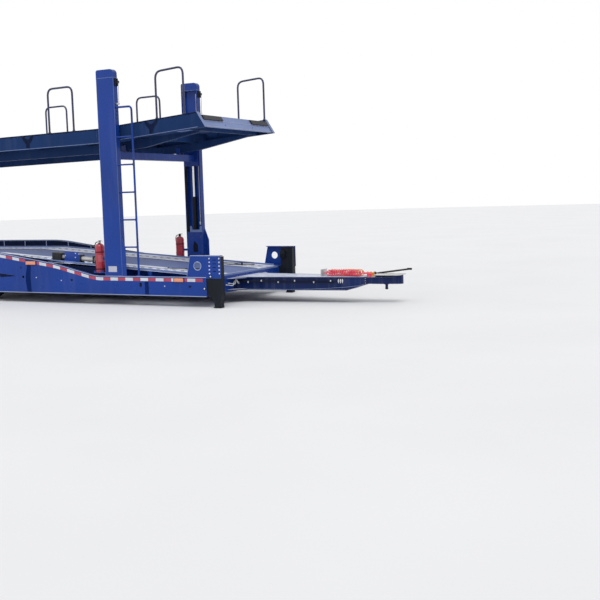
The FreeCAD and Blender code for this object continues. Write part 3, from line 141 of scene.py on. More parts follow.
GROUPS = {"trailer_paint": TrailerPaint, "trailer_stripes": TrailerStripes,
    "trailer_tyres": TrailerTyres, "trailer_hoses": TrailerHoses, "trailer_view": TrailerView}


# ---- node groups --------------------------------------------------------------------------
class Net:
    """Short way of adding and joining nodes in one tree."""

    def __init__(self, tree):
        self.tree = tree

    def add(self, kind, inputs=(), **settings):
        node = self.tree.nodes.new(kind)
        for key, value in settings.items():
            setattr(node, key, value)
        for key, value in dict(inputs).items():
            if isinstance(value, bpy.types.NodeSocket):
                self.tree.links.new(value, node.inputs[key])
            else:
                node.inputs[key].default_value = value
        return node

    def maths(self, operation, *values, clamp=False):
        node = self.add("ShaderNodeMath", dict(enumerate(values)), operation=operation,
            use_clamp=clamp)
        return node.outputs[0]

    def ramp(self, value, low, high, start=0.0, end=1.0):
        node = self.add("ShaderNodeMapRange", {"Value": value, "From Min": low, "From Max": high,
            "To Min": start, "To Max": end})
        return node.outputs[0]

    def mix(self, share, first, second):
        node = self.add("ShaderNodeMix", data_type="RGBA")
        for index, value in ((0, share), (6, first), (7, second)):
            if isinstance(value, bpy.types.NodeSocket):
                self.tree.links.new(value, node.inputs[index])
            else:
                node.inputs[index].default_value = value
        return node.outputs[2]

    def noise(self, scale, detail=3.0, rough=0.55, stretch=None):
        place = self.add("ShaderNodeTexCoord").outputs["Object"]
        if stretch:
            place = self.add("ShaderNodeMapping", {"Vector": place, "Scale": stretch}).outputs[0]
        node = self.add("ShaderNodeTexNoise", {"Vector": place, "Scale": scale, "Detail": detail,
            "Roughness": rough})
        return node.outputs["Fac"]


def node_group(name, inputs, outputs):
    tree = bpy.data.node_groups.new(name, "ShaderNodeTree")
    for key, kind, value in inputs:
        socket = tree.interface.new_socket(name=key, in_out="INPUT", socket_type=kind)
        if value is not None:
            socket.default_value = value
    for key, kind in outputs:
        tree.interface.new_socket(name=key, in_out="OUTPUT", socket_type=kind)
    net = Net(tree)
    return tree, net, net.add("NodeGroupInput").outputs, net.add("NodeGroupOutput").inputs


FLOAT = "NodeSocketFloat"
COLOUR = "NodeSocketColor"
VECTOR = "NodeSocketVector"


def weathering_group():
    """Colour variation, rubbed edges, dust and painted sky sheen on upward faces, streaks and fine
    grain.
    """
    tree, net, given, out = node_group("Weathering", [("Colour", COLOUR, None),
        ("Worn", COLOUR, None), ("Dust", COLOUR, None), ("Tone", FLOAT, 0.1), ("Wear", FLOAT, 0.5),
        ("Dusty", FLOAT, 0.3), ("Roughness", FLOAT, 0.35), ("Size", FLOAT, 1.5),
        ("Grain", FLOAT, 0.1), ("Grain Size", FLOAT, 120), ("Edge", FLOAT, 0.004)],
        [("Colour", COLOUR), ("Roughness", FLOAT), ("Normal", VECTOR)])
    broad = net.noise(given["Size"], 4)
    patches = net.noise(net.maths("MULTIPLY", given["Size"], 7), 5, 0.65)
    streaks = net.noise(given["Size"], 4, 0.6, stretch=(6, 6, 0.6))
    tone = net.maths("MULTIPLY_ADD", net.ramp(broad, 0.3, 0.7, -1, 1), given["Tone"], 1)
    toned = net.add("ShaderNodeHueSaturation", {"Value": tone, "Color": given["Colour"]})
    geometry = net.add("ShaderNodeNewGeometry")
    rounded = net.add("ShaderNodeBevel", {"Radius": given["Edge"]}, samples=4)
    dot = net.add("ShaderNodeVectorMath", {0: rounded.outputs[0], 1: geometry.outputs["Normal"]},
        operation="DOT_PRODUCT").outputs["Value"]
    edge = net.ramp(dot, 0.995, 0.86)
    rubbed = net.maths("MULTIPLY", edge, net.ramp(patches, 0.35, 0.6))
    rubbed = net.maths("MULTIPLY", rubbed, given["Wear"], clamp=True)
    worn = net.mix(rubbed, toned.outputs[0], given["Worn"])
    upward = net.add("ShaderNodeSeparateXYZ", {0: geometry.outputs["Normal"]}).outputs["Z"]
    # Upward faces turn towards the dust colour: partly dust, partly painted sheen of the sky on
    # glossy tops.
    upward_dust_and_sheen = net.maths("MULTIPLY", net.ramp(upward, 0.2, 0.95), net.ramp(patches, 0.3, 0.7, 0.55))
    running = net.maths("MULTIPLY", net.ramp(streaks, 0.52, 0.75), 0.28)
    running = net.maths("MULTIPLY", running, net.maths("MINIMUM", given["Dusty"], 0.2))
    dust_and_sheen_film = net.maths("MAXIMUM", net.maths("MULTIPLY", upward_dust_and_sheen, given["Dusty"]), running, clamp=True)
    net.tree.links.new(net.mix(dust_and_sheen_film, worn, given["Dust"]), out["Colour"])
    rough = net.maths("MULTIPLY_ADD", net.ramp(patches, 0.3, 0.7, -1, 1), 0.06, given["Roughness"])
    rough = net.maths("MULTIPLY_ADD", dust_and_sheen_film, 0.3, rough, clamp=True)
    net.tree.links.new(rough, out["Roughness"])
    grain = net.noise(given["Grain Size"], 2)
    bump = net.add("ShaderNodeBump", {"Strength": given["Grain"], "Distance": 0.002,
        "Height": grain, "Normal": rounded.outputs[0]})
    net.tree.links.new(bump.outputs[0], out["Normal"])
    return tree


def chequer_group():
    """Raised lozenges of tread plate, turned every other cell."""
    tree, net, given, out = node_group("Tread plate", [("Pitch", FLOAT, 0.05)],
        [("Height", FLOAT), ("Mask", FLOAT)])
    place = net.add("ShaderNodeSeparateXYZ", {0: net.add("ShaderNodeTexCoord").outputs["Object"]})
    cells = []
    for axis in ("X", "Y"):
        share = net.maths("DIVIDE", place.outputs[axis], given["Pitch"])
        cells.append((net.maths("SUBTRACT", net.maths("FRACT", share), 0.5),
            net.maths("FLOOR", share)))
    odd = net.maths("MODULO", net.maths("ABSOLUTE", net.maths("ADD", cells[0][1], cells[1][1])),
        2.0)
    lozenges = []
    for along, across in ((cells[0][0], cells[1][0]), (cells[1][0], cells[0][0])):
        first = net.maths("POWER", net.maths("DIVIDE", net.maths("ABSOLUTE", along), 0.46), 2)
        second = net.maths("POWER", net.maths("DIVIDE", net.maths("ABSOLUTE", across), 0.15), 2)
        lozenges.append(net.ramp(net.maths("ADD", first, second), 1, 0.45))
    height = net.add("ShaderNodeMix", data_type="FLOAT")
    net.tree.links.new(odd, height.inputs[0])
    net.tree.links.new(lozenges[0], height.inputs[2])
    net.tree.links.new(lozenges[1], height.inputs[3])
    net.tree.links.new(height.outputs[0], out["Height"])
    net.tree.links.new(net.ramp(height.outputs[0], 0.1, 0.6), out["Mask"])
    return tree


def shared_group(name, builder):
    return bpy.data.node_groups.get(name) or builder()


# ---- finishes -----------------------------------------------------------------------------
# Each row: name, tint, rubbed tint, tint of dust and painted sky sheen (None for the paint group's
# own), and then the columns below. A text names a property of a group, and a pair is a share of one.
WEATHER_COLUMNS = ("Tone", "Wear", "Dusty", "Roughness", "Size", "Grain", "Grain Size", "Edge")
SHADER_COLUMNS = ("Metallic", "Coat Weight", "Coat Roughness", "Specular IOR Level")
FINISHES = {
    "body": ("Body paint", "paint.body", None, None,
             0.14, "paint.wear", 0.14, 0.3, 0.7, 0.05, 90, 0.006, 0, 0.12, 0.08, 0.16),
    # Lighter blue paint than the body's.
    "pale": ("Bleached paint", "paint.pale", (0.42, 0.45, 0.55), None,
             0.14, 0.5, 0.35, 0.42, 1.3, 0.08, 120, 0.004, 0, 0, 0.1, 0.15),
    # Pale lines on edges, beads and ribs: painted highlight of the sky on the edges, with some
    # rubbed paint.
    "bright": ("Bright rubbed edge", (0.33, 0.39, 0.56), (0.7, 0.72, 0.78), None,
               0.2, 0.7, 0.4, 0.35, 3, 0.1, 120, 0.002, 0, 0, 0.1, 0.25),
    # Dark blue of the bands drawn over the side beams' seams: painted shadow of the seam joints.
    "seam": ("Shaded seam paint", (0.003, 0.018, 0.115), None, None,
             0.2, 0.3, 0.05, 0.6, 3, 0.1, 120, 0.002, 0, 0, 0.1, 0.03),
    # Lighter blue strips along edges: rubbed paint, and painted highlight of the sky on the edges.
    "edge": ("Rubbed edge paint", (0.1, 0.155, 0.34), (0.45, 0.48, 0.58), None,
             0.2, 0.7, 0.3, 0.35, 3, 0.1, 120, 0.003, 0, 0.1, 0.1, 0.25),
    # Drawbar: body blue darkened to about a third as painted shade under the top plate's lip, with
    # full dust colour on its upward faces as painted sky sheen.
    "drawbar": ("Drawbar paint", ("paint.body", 0.36), None, (0.74, 0.8, 0.94),
                0.14, 0.5, 1, 0.34, 1.6, 0.08, 120, 0.005, 0, 0.1, 0.1, 0.16),
    "rail": ("Upper frame paint", "paint.rail", None, None,
             0.16, "paint.wear", 0.1, 0.5, 0.9, 0.08, 80, 0.005, 0, 0, 0.1, 0.07),
    "deck": ("Wheel track plate", "paint.deck", (0.36, 0.4, 0.55), None,
             0.2, 0.7, 0.1, 0.52, 1.1, 0.12, 120, 0.003, 0, 0, 0.1, 0.08),
    # Tread plate: pale worn steel, its tint raised further as painted sunlight on tracks that the
    # upper deck shades.
    "tread": ("Worn tread plate", (0.76, 0.8, 0.92), (0.94, 0.95, 0.98), (0.8, 0.82, 0.9),
              0.24, 0.8, 0.5, 0.48, 1.4, 0.16, 120, 0.002, 0, 0, 0.1, 0.2),
    "centre": ("Centre plate paint", ("paint.deck", 0.95), None, (0.3, 0.36, 0.58),
               0.22, 0.5, 0.28, 0.5, 0.8, 0.1, 120, 0.004, 0, 0, 0.1, 0.08),
    "black": ("Satin black", "paint.black", (0.06, 0.07, 0.09), (0.2, 0.24, 0.3),
              0.25, 0.35, 0.08, 0.42, 3, 0.2, 150, 0.003, 0, 0, 0.1, 0.12),
    "cast": ("Cast black", (0.014, 0.015, 0.018), (0.12, 0.09, 0.07), None,
             0.3, 0.4, 0.25, 0.6, 4, 0.6, 60, 0.004, 0, 0, 0.1, 0.25),
    # Black of pipes and straps, and of the dark discs and plates that stand in for the shade inside
    # holes and openings.
    "recess": ("Dark recess", (0.006, 0.008, 0.016), (0.05, 0.06, 0.09), None,
               0.2, 0.2, 0.05, 0.7, 6, 0.2, 120, 0.004, 0, 0, 0.1, 0.1),
    "head": ("Coupling head paint", ("paint.body", 0.3), (0.34, 0.34, 0.36), (0.62, 0.6, 0.58),
             0.2, 0.7, 1, 0.42, 5, 0.3, 120, 0.005, 0, 0, 0.1, 0.2),
    "steel": ("Worn steel", (0.44, 0.43, 0.42), (0.62, 0.62, 0.62), None,
              0.2, 0.6, 0.3, 0.42, 5, 0.3, 120, 0.005, 0.35, 0, 0.1, 0.5),
    "greased": ("Greased steel", (0.56, 0.55, 0.53), (0.3, 0.3, 0.3), None,
                0.2, 0.5, 0.3, 0.45, 6, 0.3, 120, 0.004, 0.2, 0, 0.1, 0.5),
    # Dark navy of the rails' caps and forks, also used for the sheets of painted shade on the inner
    # webs and in the tie-down pockets.
    "bracket": ("Bracket paint", (0.004, 0.01, 0.04), (0.12, 0.15, 0.26), None,
                0.2, 0.5, 0.08, 0.55, 4, 0.15, 120, 0.003, 0, 0, 0.1, 0.05),
    "rubber": ("Rubber block", (0.014, 0.014, 0.016), (0.06, 0.06, 0.06), None,
               0.2, 0.35, 0.25, 0.72, 5, 0.5, 200, 0.004, 0, 0, 0.1, 0.22),
    "tyre": ("Tyre rubber", (0.014, 0.014, 0.016), (0.06, 0.06, 0.06), None,
             0.2, 0.35, 0.25, 0.72, 5, 0.5, 200, 0.004, 0, 0, 0.1, 0.22),
    "rim": ("Rim silver", "tyres.silver", (0.3, 0.3, 0.32), None,
            0.12, 0.3, 0.3, 0.35, 5, 0.1, 120, 0.003, 0.35, 0.2, 0.1, 0.5),
    "chrome": ("Chromed rod", (0.7, 0.71, 0.73), (0.4, 0.4, 0.42), None,
               0.05, 0.2, 0.05, 0.12, 6, 0.03, 300, 0.002, 1, 0, 0.1, 0.5),
    "zinc": ("Zinc plating", (0.5, 0.51, 0.54), (0.7, 0.7, 0.72), None,
             0.2, 0.4, 0.2, 0.38, 8, 0.2, 180, 0.002, 0.7, 0, 0.1, 0.5),
    "safety": ("Safety red", (0.36, 0.02, 0.04), (0.55, 0.22, 0.24), None,
               0.12, 0.35, 0.12, 0.28, 3, 0.05, 120, 0.006, 0, 0.4, 0.06, 0.3),
    "ruby": ("Red lens", (0.42, 0.012, 0.014), None, None,
             0.1, 0, 0.08, 0.15, 10, 0.5, 90, 0.003, 0, 0.8, 0.05, 0.5),
    "amber": ("Amber lens", "stripes.amber", None, None,
              0.08, 0, 0.1, 0.2, 10, 0.5, 80, 0.004, 0, 0.5, 0.05, 0.5),
    "hoop": ("Guard hoop paint", (0.03, 0.034, 0.085), (0.25, 0.25, 0.32), None,
             0.2, 0.4, 0.15, 0.35, 5, 0.1, 120, 0.003, 0, 0.2, 0.1, 0.25),
    "white": ("White fittings", (0.66, 0.67, 0.7), (0.5, 0.5, 0.52), None,
              0.1, 0.2, 0.15, 0.3, 12, 0.05, 120, 0.002, 0, 0.3, 0.1, 0.5),
    "label": ("Blank label", (0.46, 0.46, 0.56), (0.28, 0.28, 0.34), None,
              0.08, 0.4, 0.2, 0.45, 14, 0.04, 120, 0.001, 0, 0, 0.1, 0.5),
    "red_label": ("Blank red label", (0.42, 0.075, 0.1), (0.5, 0.4, 0.4), None,
                  0.1, 0.3, 0.1, 0.4, 14, 0.04, 120, 0.001, 0, 0, 0.1, 0.5),
    "tape": ("Reflective tape", "stripes.white", (0.5, 0.5, 0.52), None,
             0.1, 0.1, 0.2, 0.32, 6, 0.35, 260, 0.001, 0, 0.4, 0.1, 0.5),
    "white_tape": ("Bumper tape", "stripes.white", (0.5, 0.5, 0.52), None,
                   0.1, 0.1, 0.2, 0.32, 6, 0.35, 260, 0.001, 0, 0.2, 0.1, 0.5),
    "red_tape": ("Red bumper tape", "stripes.red", (0.5, 0.4, 0.4), None,
                 0.1, 0.1, 0.2, 0.32, 6, 0.35, 260, 0.001, 0, 0.2, 0.1, 0.5),
    "red_hose": ("Red hose", "hoses.red", None, None,
                 0.1, 0, 0.1, 0.3, 9, 0.04, 120, 0.001, 0, 0.4, 0.1, 0.5),
    "yellow_hose": ("Yellow hose", "hoses.yellow", None, None,
                    0.1, 0, 0.1, 0.3, 9, 0.04, 120, 0.001, 0, 0.4, 0.1, 0.5),
}
TREAD_PITCH = 0.055
TREAD_BUMP = {"Strength": 0.9, "Distance": 0.004}
TREAD_WORN = 0.8              # how pale the lozenges' tops are rubbed
TAPE_START = 20.0             # keeps the tape's count of blocks above zero

NODE_FINISHES = {
    "chassis_blue": "body", "deck_plate": "deck", "black_paint": "black", "tyre": "rubber",
    "black_rubber": "rubber", "wheel_silver": "zinc", "chrome_rod": "chrome",
    "safety_red": "safety", "lamp_red": "ruby", "zinc_steel": "zinc", "hoop_steel": "hoop",
    "hose_red": "safety", "hose_yellow": "amber", "cast_black": "cast",
}
NAMED_FINISHES = {
    "upper_rail_left": "rail", "upper_rail_right": "rail", "upper_frame": "rail",
    "upper_long_beams": "rail", "upper_rear_beam": "rail", "upper_front_beam": "pale",
    "drawbar": "drawbar", "drawbar_head": "head", "centre_plate": "centre",
    "hose_bracket": "zinc", "loading_ramps": "zinc", "lower_track_left": "tread",
    "lower_track_right": "tread",
}


def settled(value):
    """Value of a table's entry: itself, a named property, or a share of one."""
    if isinstance(value, str):
        group, key = value.split(".")
        return getattr(getattr(bpy.context.scene, "trailer_" + group), key)
    if isinstance(value, tuple) and isinstance(value[0], str):
        return [value[1] * part for part in settled(value[0])]
    return value


def opaque(value):
    return (*settled(value), 1)


def finish(key):
    """Material of a row, its colour, roughness and normal from the weathering group."""
    name, tint, worn, dust, *numbers = FINISHES[key]
    known = bpy.data.materials.get(name)
    if known:
        return known
    worn, dust = worn or "paint.worn", dust or "paint.dust"
    material = bpy.data.materials.new(name)
    material.use_nodes = True
    material.diffuse_color = opaque(tint)
    net = Net(material.node_tree)
    shader = material.node_tree.nodes["Principled BSDF"]
    group = net.add("ShaderNodeGroup", {"Colour": opaque(tint), "Worn": opaque(worn),
        "Dust": opaque(dust)}, node_tree=shared_group("Weathering", weathering_group))
    for column, number in zip(WEATHER_COLUMNS, numbers):
        group.inputs[column].default_value = settled(number)
    for column, number in zip(SHADER_COLUMNS, numbers[len(WEATHER_COLUMNS):]):
        shader.inputs[column].default_value = number
    normal = group.outputs["Normal"]
    if key == "tread":
        lozenges = net.add("ShaderNodeGroup", {"Pitch": TREAD_PITCH},
            node_tree=shared_group("Tread plate", chequer_group)).outputs
        normal = net.add("ShaderNodeBump", {**TREAD_BUMP, "Height": lozenges["Height"],
            "Normal": normal}).outputs[0]
        tinted = net.mix(net.maths("MULTIPLY", lozenges["Mask"], TREAD_WORN), opaque(tint),
            opaque(worn))
        net.tree.links.new(tinted, group.inputs["Colour"])
    if key == "tape":
        place = net.add("ShaderNodeSeparateXYZ",
            {0: net.add("ShaderNodeTexCoord").outputs["Object"]})
        share = net.maths("DIVIDE", net.maths("ADD", place.outputs["X"], TAPE_START), 2
            * settled("stripes.block"))
        mask = net.maths("GREATER_THAN", net.maths("FRACT", share), 0.5)
        net.tree.links.new(net.mix(mask, opaque("stripes.white"), opaque("stripes.red")),
            group.inputs["Colour"])
    net.tree.links.new(group.outputs["Colour"], shader.inputs["Base Color"])
    net.tree.links.new(group.outputs["Roughness"], shader.inputs["Roughness"])
    net.tree.links.new(normal, shader.inputs["Normal"])
    return material


# ---- modelling helpers --------------------------------------------------------------------
ORIGIN = (0, 0, 0)
AHEAD = (1, 0, 0)
ASIDE = (0, 1, 0)
INWARD = (0, -1, 0)
UP = (0, 0, 1)


def unselected():
    bpy.ops.object.select_all(action="DESELECT")


def alone(obj):
    unselected()
    obj.select_set(True)
    bpy.context.view_layer.objects.active = obj
    return obj


def edit(obj, mode="VERT"):
    alone(obj)
    bpy.ops.object.mode_set(mode="EDIT")
    bpy.ops.mesh.select_mode(type=mode)
    bpy.ops.mesh.select_all(action="SELECT")


def leave():
    bpy.ops.object.mode_set(mode="OBJECT")


def pick_faces(obj, test):
    """Opens a mesh for editing with the faces selected that pass the test."""
    edit(obj, "FACE")
    bpy.ops.mesh.select_all(action="DESELECT")
    leave()
    for face in obj.data.polygons:
        face.select = test(face)
    alone(obj)
    bpy.ops.object.mode_set(mode="EDIT")


def named(name):
    obj = bpy.context.object
    obj.name = obj.data.name = name
    return obj


def place_in_mesh(obj):
    alone(obj)
    bpy.ops.object.transform_apply(location=True, rotation=True, scale=True)
    return obj


def smoothed(obj, angle):
    alone(obj)
    bpy.ops.object.shade_smooth_by_angle(angle=math.radians(angle))
    return obj


def bevelled(obj, width, segments=2, angle=None):
    """Rounds the edges sharper than the angle, or all of them."""
    if width:
        alone(obj)
        modifier = obj.modifiers.new("Bevel", "BEVEL")
        modifier.width = width
        modifier.segments = segments
        modifier.limit_method = "ANGLE" if angle else "NONE"
        if angle:
            modifier.angle_limit = math.radians(angle)
        bpy.ops.object.modifier_apply(modifier=modifier.name)
    return obj


def block(low, high, bevel=0.003, segments=2):
    """Bar with the given lowest and highest corners and rounded edges."""
    low, high = Vector(low), Vector(high)
    unselected()
    bpy.ops.mesh.primitive_cube_add(size=1, location=(low + high) / 2, scale=high - low)
    return bevelled(place_in_mesh(bpy.context.object), bevel, segments)


def round_bar(start, end, radius, sides=16, bevel=0.0):
    """Round bar between two points, its end edges rounded."""
    start, end = Vector(start), Vector(end)
    line = end - start
    unselected()
    bpy.ops.mesh.primitive_cylinder_add(vertices=sides, radius=radius, depth=line.length,
        location=(start + end) / 2, rotation=line.to_track_quat("Z", "Y").to_euler())
    return bevelled(place_in_mesh(bpy.context.object), bevel, 2, 50)


def drawn(points, closed=True):
    """Line drawn from point to point, filled when it is closed, left in edit mode."""
    unselected()
    bpy.ops.mesh.primitive_plane_add(size=1, location=ORIGIN)
    obj = bpy.context.object
    edit(obj)
    bpy.ops.mesh.merge(type="CENTER")
    bpy.ops.mesh.select_all(action="SELECT")
    here = Vector(ORIGIN)
    for index, point in enumerate(points):
        step = Vector(point) - here
        if index:
            bpy.ops.mesh.extrude_vertices_move(TRANSFORM_OT_translate={"value": step})
        else:
            bpy.ops.transform.translate(value=step)
        here = Vector(point)
    if closed:
        bpy.ops.mesh.select_all(action="SELECT")
        bpy.ops.mesh.edge_face_add()
    return obj


def outward(obj, merge=True):
    edit(obj)
    if merge:
        bpy.ops.mesh.remove_doubles(threshold=0.00002)
    bpy.ops.mesh.select_all(action="SELECT")
    bpy.ops.mesh.normals_make_consistent(inside=False)
    leave()
    return obj


def run_along(section, line, bevel=0.0, segments=2):
    """Section of points extruded step by step along a line of places."""
    obj = drawn(section)
    for before, after in zip(line, line[1:]):
        bpy.ops.mesh.extrude_region_move(
            TRANSFORM_OT_translate={"value": Vector(after) - Vector(before)})
    leave()
    return bevelled(outward(obj), bevel, segments, 40)


def plate(points, thickness, bevel=0.0, segments=1):
    """Plate from a closed outline, extruded by the thickness vector."""
    return run_along(points, [ORIGIN, thickness], bevel, segments)


def upright(outline, y, depth, bevel=0.0, segments=1):
    """Plate across the Y axis, from an outline of (x, z) at y."""
    return plate([(x, y, z) for x, z in outline], (0, depth, 0), bevel, segments)


def turned(points, centre, axis, steps=32, angle=2 * math.pi, smooth=35.0):
    """Shape turned on a lathe from a drawn line about an axis."""
    obj = drawn(points, closed=False)
    bpy.ops.mesh.select_all(action="SELECT")
    bpy.ops.mesh.spin(steps=steps, angle=angle, center=centre, axis=axis)
    leave()
    outward(obj)
    return smoothed(obj, smooth) if smooth else obj


def lathe(profile, centre, axis, steps=32, smooth=35.0):
    """Shape turned fully about an axis from places (radius, distance along it)."""
    along, out = Vector(axis), Vector(AHEAD if axis == UP else UP)
    points = [Vector(centre) + radius * out + way * along for radius, way in profile]
    return turned(points, centre, axis, steps, smooth=smooth)


def tube(points, radius):
    """Bent tube along a smooth line through the points' hull, closed at its ends."""
    unselected()
    bpy.ops.curve.primitive_nurbs_path_add(location=ORIGIN)
    curve = bpy.context.object.data
    curve.splines.clear()
    nurbs_line(curve, points).resolution_u = 4
    curve.bevel_depth = radius
    curve.bevel_resolution = 3
    curve.use_fill_caps = True
    alone(bpy.context.object)
    bpy.ops.object.convert(target="MESH")
    return smoothed(outward(bpy.context.object), 50)


def nurbs_line(curve, points):
    """Smooth line of order 3 from the first point to the last."""
    spline = curve.splines.new("NURBS")
    spline.points.add(len(points) - 1)
    for point, place in zip(spline.points, points):
        point.co = (*place, 1)
    spline.order_u = 3
    spline.use_endpoint_u = True
    return spline


def shifted(place, points):
    """Points given from a place of their own."""
    return [Vector(place) + Vector(point) for point in points]


def moved_copy(obj, matrix, name="copy"):
    twin = obj.copy()
    twin.data = obj.data.copy()
    twin.name = twin.data.name = name
    bpy.context.collection.objects.link(twin)
    twin.data.transform(matrix)
    if matrix.determinant() < 0:
        outward(twin, merge=False)
    return twin


def placed(obj, matrices):
    """Copies of a piece made at the origin, one at each place, in its stead."""
    made = [moved_copy(obj, matrix) for matrix in matrices]
    bpy.data.objects.remove(obj, do_unlink=True)
    return made


def facing(direction, places):
    """Places with the piece's height turned along the direction."""
    turn = Vector(direction).to_track_quat("Z", "Y").to_matrix().to_4x4()
    return [Matrix.Translation(place) @ turn for place in places]


def merged(name, objects):
    """One piece of several meshes."""
    unselected()
    for obj in objects:
        obj.select_set(True)
    bpy.context.view_layer.objects.active = objects[0]
    if len(objects) > 1:
        bpy.ops.object.join()
    return named(name)


def finished(obj, key, body="chassis", smooth=None):
    """Puts the finish on a piece that has none and makes it ride on its body."""
    if not obj.data.materials:
        obj.data.materials.append(finish(key))
    if smooth:
        smoothed(obj, smooth)
    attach(obj, body)
    return obj


def pair(name, objects, key, body="chassis", smooth=None, slot=None):
    """Merges left-hand pieces, mirrors them to the right, and finishes both."""
    left = merged(name + "_left", objects)
    both = [left, moved_copy(left, Matrix.Diagonal((1, -1, 1, 1)), name + "_right")]
    return [finished(obj, key, body, smooth) for obj in both]


def single(name, objects, key, body="chassis", smooth=None):
    return finished(merged(name, objects), key, body, smooth)


def bolts(places, direction, radius=0.011, height=0.009):
    """Hexagon heads on their washers."""
    washer = round_bar((0, 0, -0.001), (0, 0, 0.0025), 1.4 * radius, 14, 0.0006)
    head = round_bar((0, 0, 0.002), (0, 0, height), radius, 6, 0.0012)
    return placed(merged("bolt", [washer, head]), facing(direction, places))


def domes(places, direction, radius, height):
    """Rounded rivet heads or caps."""
    line = ((0, height), (0.5 * radius, 0.88 * height), (0.86 * radius, 0.52 * height),
        (radius, 0), (0, -0.001))
    return placed(lathe(line, ORIGIN, UP, 14), facing(direction, places))


def bars(rows, place=ORIGIN):
    """Blocks from rows of both corners, seen from the place, and their rounding."""
    return [block(*shifted(place, (row[:3], row[3:6])), *row[6:]) for row in rows]


def rods(rows, place=ORIGIN):
    """Round bars from rows of both ends, seen from the place, and the rest of their sizes."""
    return [round_bar(*shifted(place, (row[:3], row[3:6])), *row[6:]) for row in rows]


# ---- lines of the frame -------------------------------------------------------------------
def height_on(line, x):
    for (x0, z0), (x1, z1) in zip(line, line[1:]):
        if x0 <= x <= x1:
            return z0 + (z1 - z0) * (x - x0) / (x1 - x0) if x1 > x0 else max(z0, z1)
    return line[0][1] if x < line[0][0] else line[-1][1]


def edge_line(name, face_y, knees):
    """Outline of a node's side face where it runs along the knees, rearmost first."""
    found = {}
    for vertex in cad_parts[name].data.vertices:
        x, z = vertex.co.x, vertex.co.z
        if abs(abs(vertex.co.y) - face_y) < 0.0008 and abs(z - height_on(knees, x)) < 0.03:
            found[round(x, 4)] = max(z, found.get(round(x, 4), 0))
    return sorted(found.items())


def beam_rail():
    return edge_line("side_beam_left", HALF_WIDTH, RAIL_KNEES)


def line_between(line, start, end, drop=0.0, y=0.0):
    """Places along an outline from start to end, dropped under it."""
    places = [start] + [x for x, _ in line if start + 0.004 < x < end - 0.004] + [end]
    return [(x, y, height_on(line, x) - drop) for x in places]


def offset_line(line, width):
    """The line moved sideways, to the right of the way it runs, mitred at its bends."""
    rights = []
    for (x0, z0), (x1, z1) in zip(line, line[1:]):
        run = math.hypot(x1 - x0, z1 - z0)
        rights.append(((z1 - z0) / run, (x0 - x1) / run))
    moved = []
    for index, (x, z) in enumerate(line):
        first = rights[max(index - 1, 0)]
        second = rights[min(index, len(rights) - 1)]
        share = width / (1.0 + first[0] * second[0] + first[1] * second[1])
        moved.append((x + share * (first[0] + second[0]), z + share * (first[1] + second[1])))
    return moved


def band(line, width, y, depth, bevel=0.0012):
    """Narrow plate that follows a line of (x, z) on a side face, on the line's right."""
    return upright(list(line) + offset_line(line, width)[::-1], y, depth, bevel)


def lying_strip(knees, start, end, sides, drop, height, bevel=0.0008):
    """Flat strip along a sloping track, between two distances from the middle."""
    z = height_on(knees, start) - drop
    section = [(start, sides[0], z - 0.001), (start, sides[0], z + height),
        (start, sides[1], z + height), (start, sides[1], z - 0.001)]
    return run_along(section, line_between(knees, start, end, drop), bevel)


# ---- stage --------------------------------------------------------------------------------
def camera_view():
    view = bpy.context.scene.trailer_view
    bpy.ops.object.camera_add(location=(11.304, -14.075, 1.7), rotation=[math.radians(angle)
        for angle in (83.88544, 1.63706, 26.82955)])
    camera = bpy.context.object
    camera.name = "view"
    camera.data.lens = view.lens
    camera.data.sensor_width = 36.0
    camera.data.clip_end = 400.0
    bpy.context.scene.camera = camera


class TRAILER_OT_stage(bpy.types.Operator):
    """Camera, plain floor, even daylight and lamps"""
    bl_idname = "trailer.stage"
    bl_label = "Stage"

    def execute(self, context):
        view = context.scene.trailer_view
        context.scene.view_settings.view_transform = "Standard"
        camera_view()
        bpy.ops.object.select_all(action="DESELECT")
        bpy.ops.mesh.primitive_circle_add(vertices=64, radius=90.0, fill_type="NGON",
            location=(0, 0, -0.004))
        floor = place_in_mesh(named("floor"))
        material = bpy.data.materials.new("Plain floor")
        material.use_nodes = True
        net = Net(material.node_tree)
        shader = material.node_tree.nodes["Principled BSDF"]
        cloud = net.noise(0.4, 3)
        pale = net.mix(net.ramp(cloud, 0.3, 0.7), (*[0.97 * v for v in view.floor], 1),
            (*view.floor, 1))
        net.tree.links.new(pale, shader.inputs["Base Color"])
        shader.inputs["Roughness"].default_value = 0.9
        shader.inputs["Specular IOR Level"].default_value = 0.1
        floor.data.materials.append(material)
        self.sky(context, view)
        for name, turn, power, spread in (("key", (38, -8, 40), 1.25, 30),
                ("fill", (58, 0, -50), 0.35, 70)):
            bpy.ops.object.light_add(type="SUN", rotation=[math.radians(a) for a in turn])
            lamp = bpy.context.object
            lamp.name = lamp.data.name = name
            lamp.data.energy = power
            lamp.data.angle = math.radians(spread)
        return {"FINISHED"}

    def sky(self, context, view):
        """Even daylight, seen as white by the camera and in gloss."""
        world = bpy.data.worlds.new("daylight")
        context.scene.world = world
        world.use_nodes = True
        net = Net(world.node_tree)
        background = world.node_tree.nodes["Background"]
        if view.backdrop:
            path = net.add("ShaderNodeLightPath").outputs
            seen = net.maths("MAXIMUM", path["Is Camera Ray"], net.maths("MAXIMUM",
                path["Is Glossy Ray"], path["Is Transmission Ray"]))
            strength = net.ramp(seen, 0, 1, view.daylight, 1)
            net.tree.links.new(strength, background.inputs["Strength"])
        else:
            background.inputs["Strength"].default_value = view.daylight
        background.inputs["Color"].default_value = (1, 1, 1, 1)


# ---- curly hoses --------------------------------------------------------------------------
HOSE_ENDS = (4.6, 5.3)
HOSE_LEVEL = 0.4653
HOSE_ASIDE = 0.061
COIL_RADIUS = 0.0475          # from the route to the middle of the hose


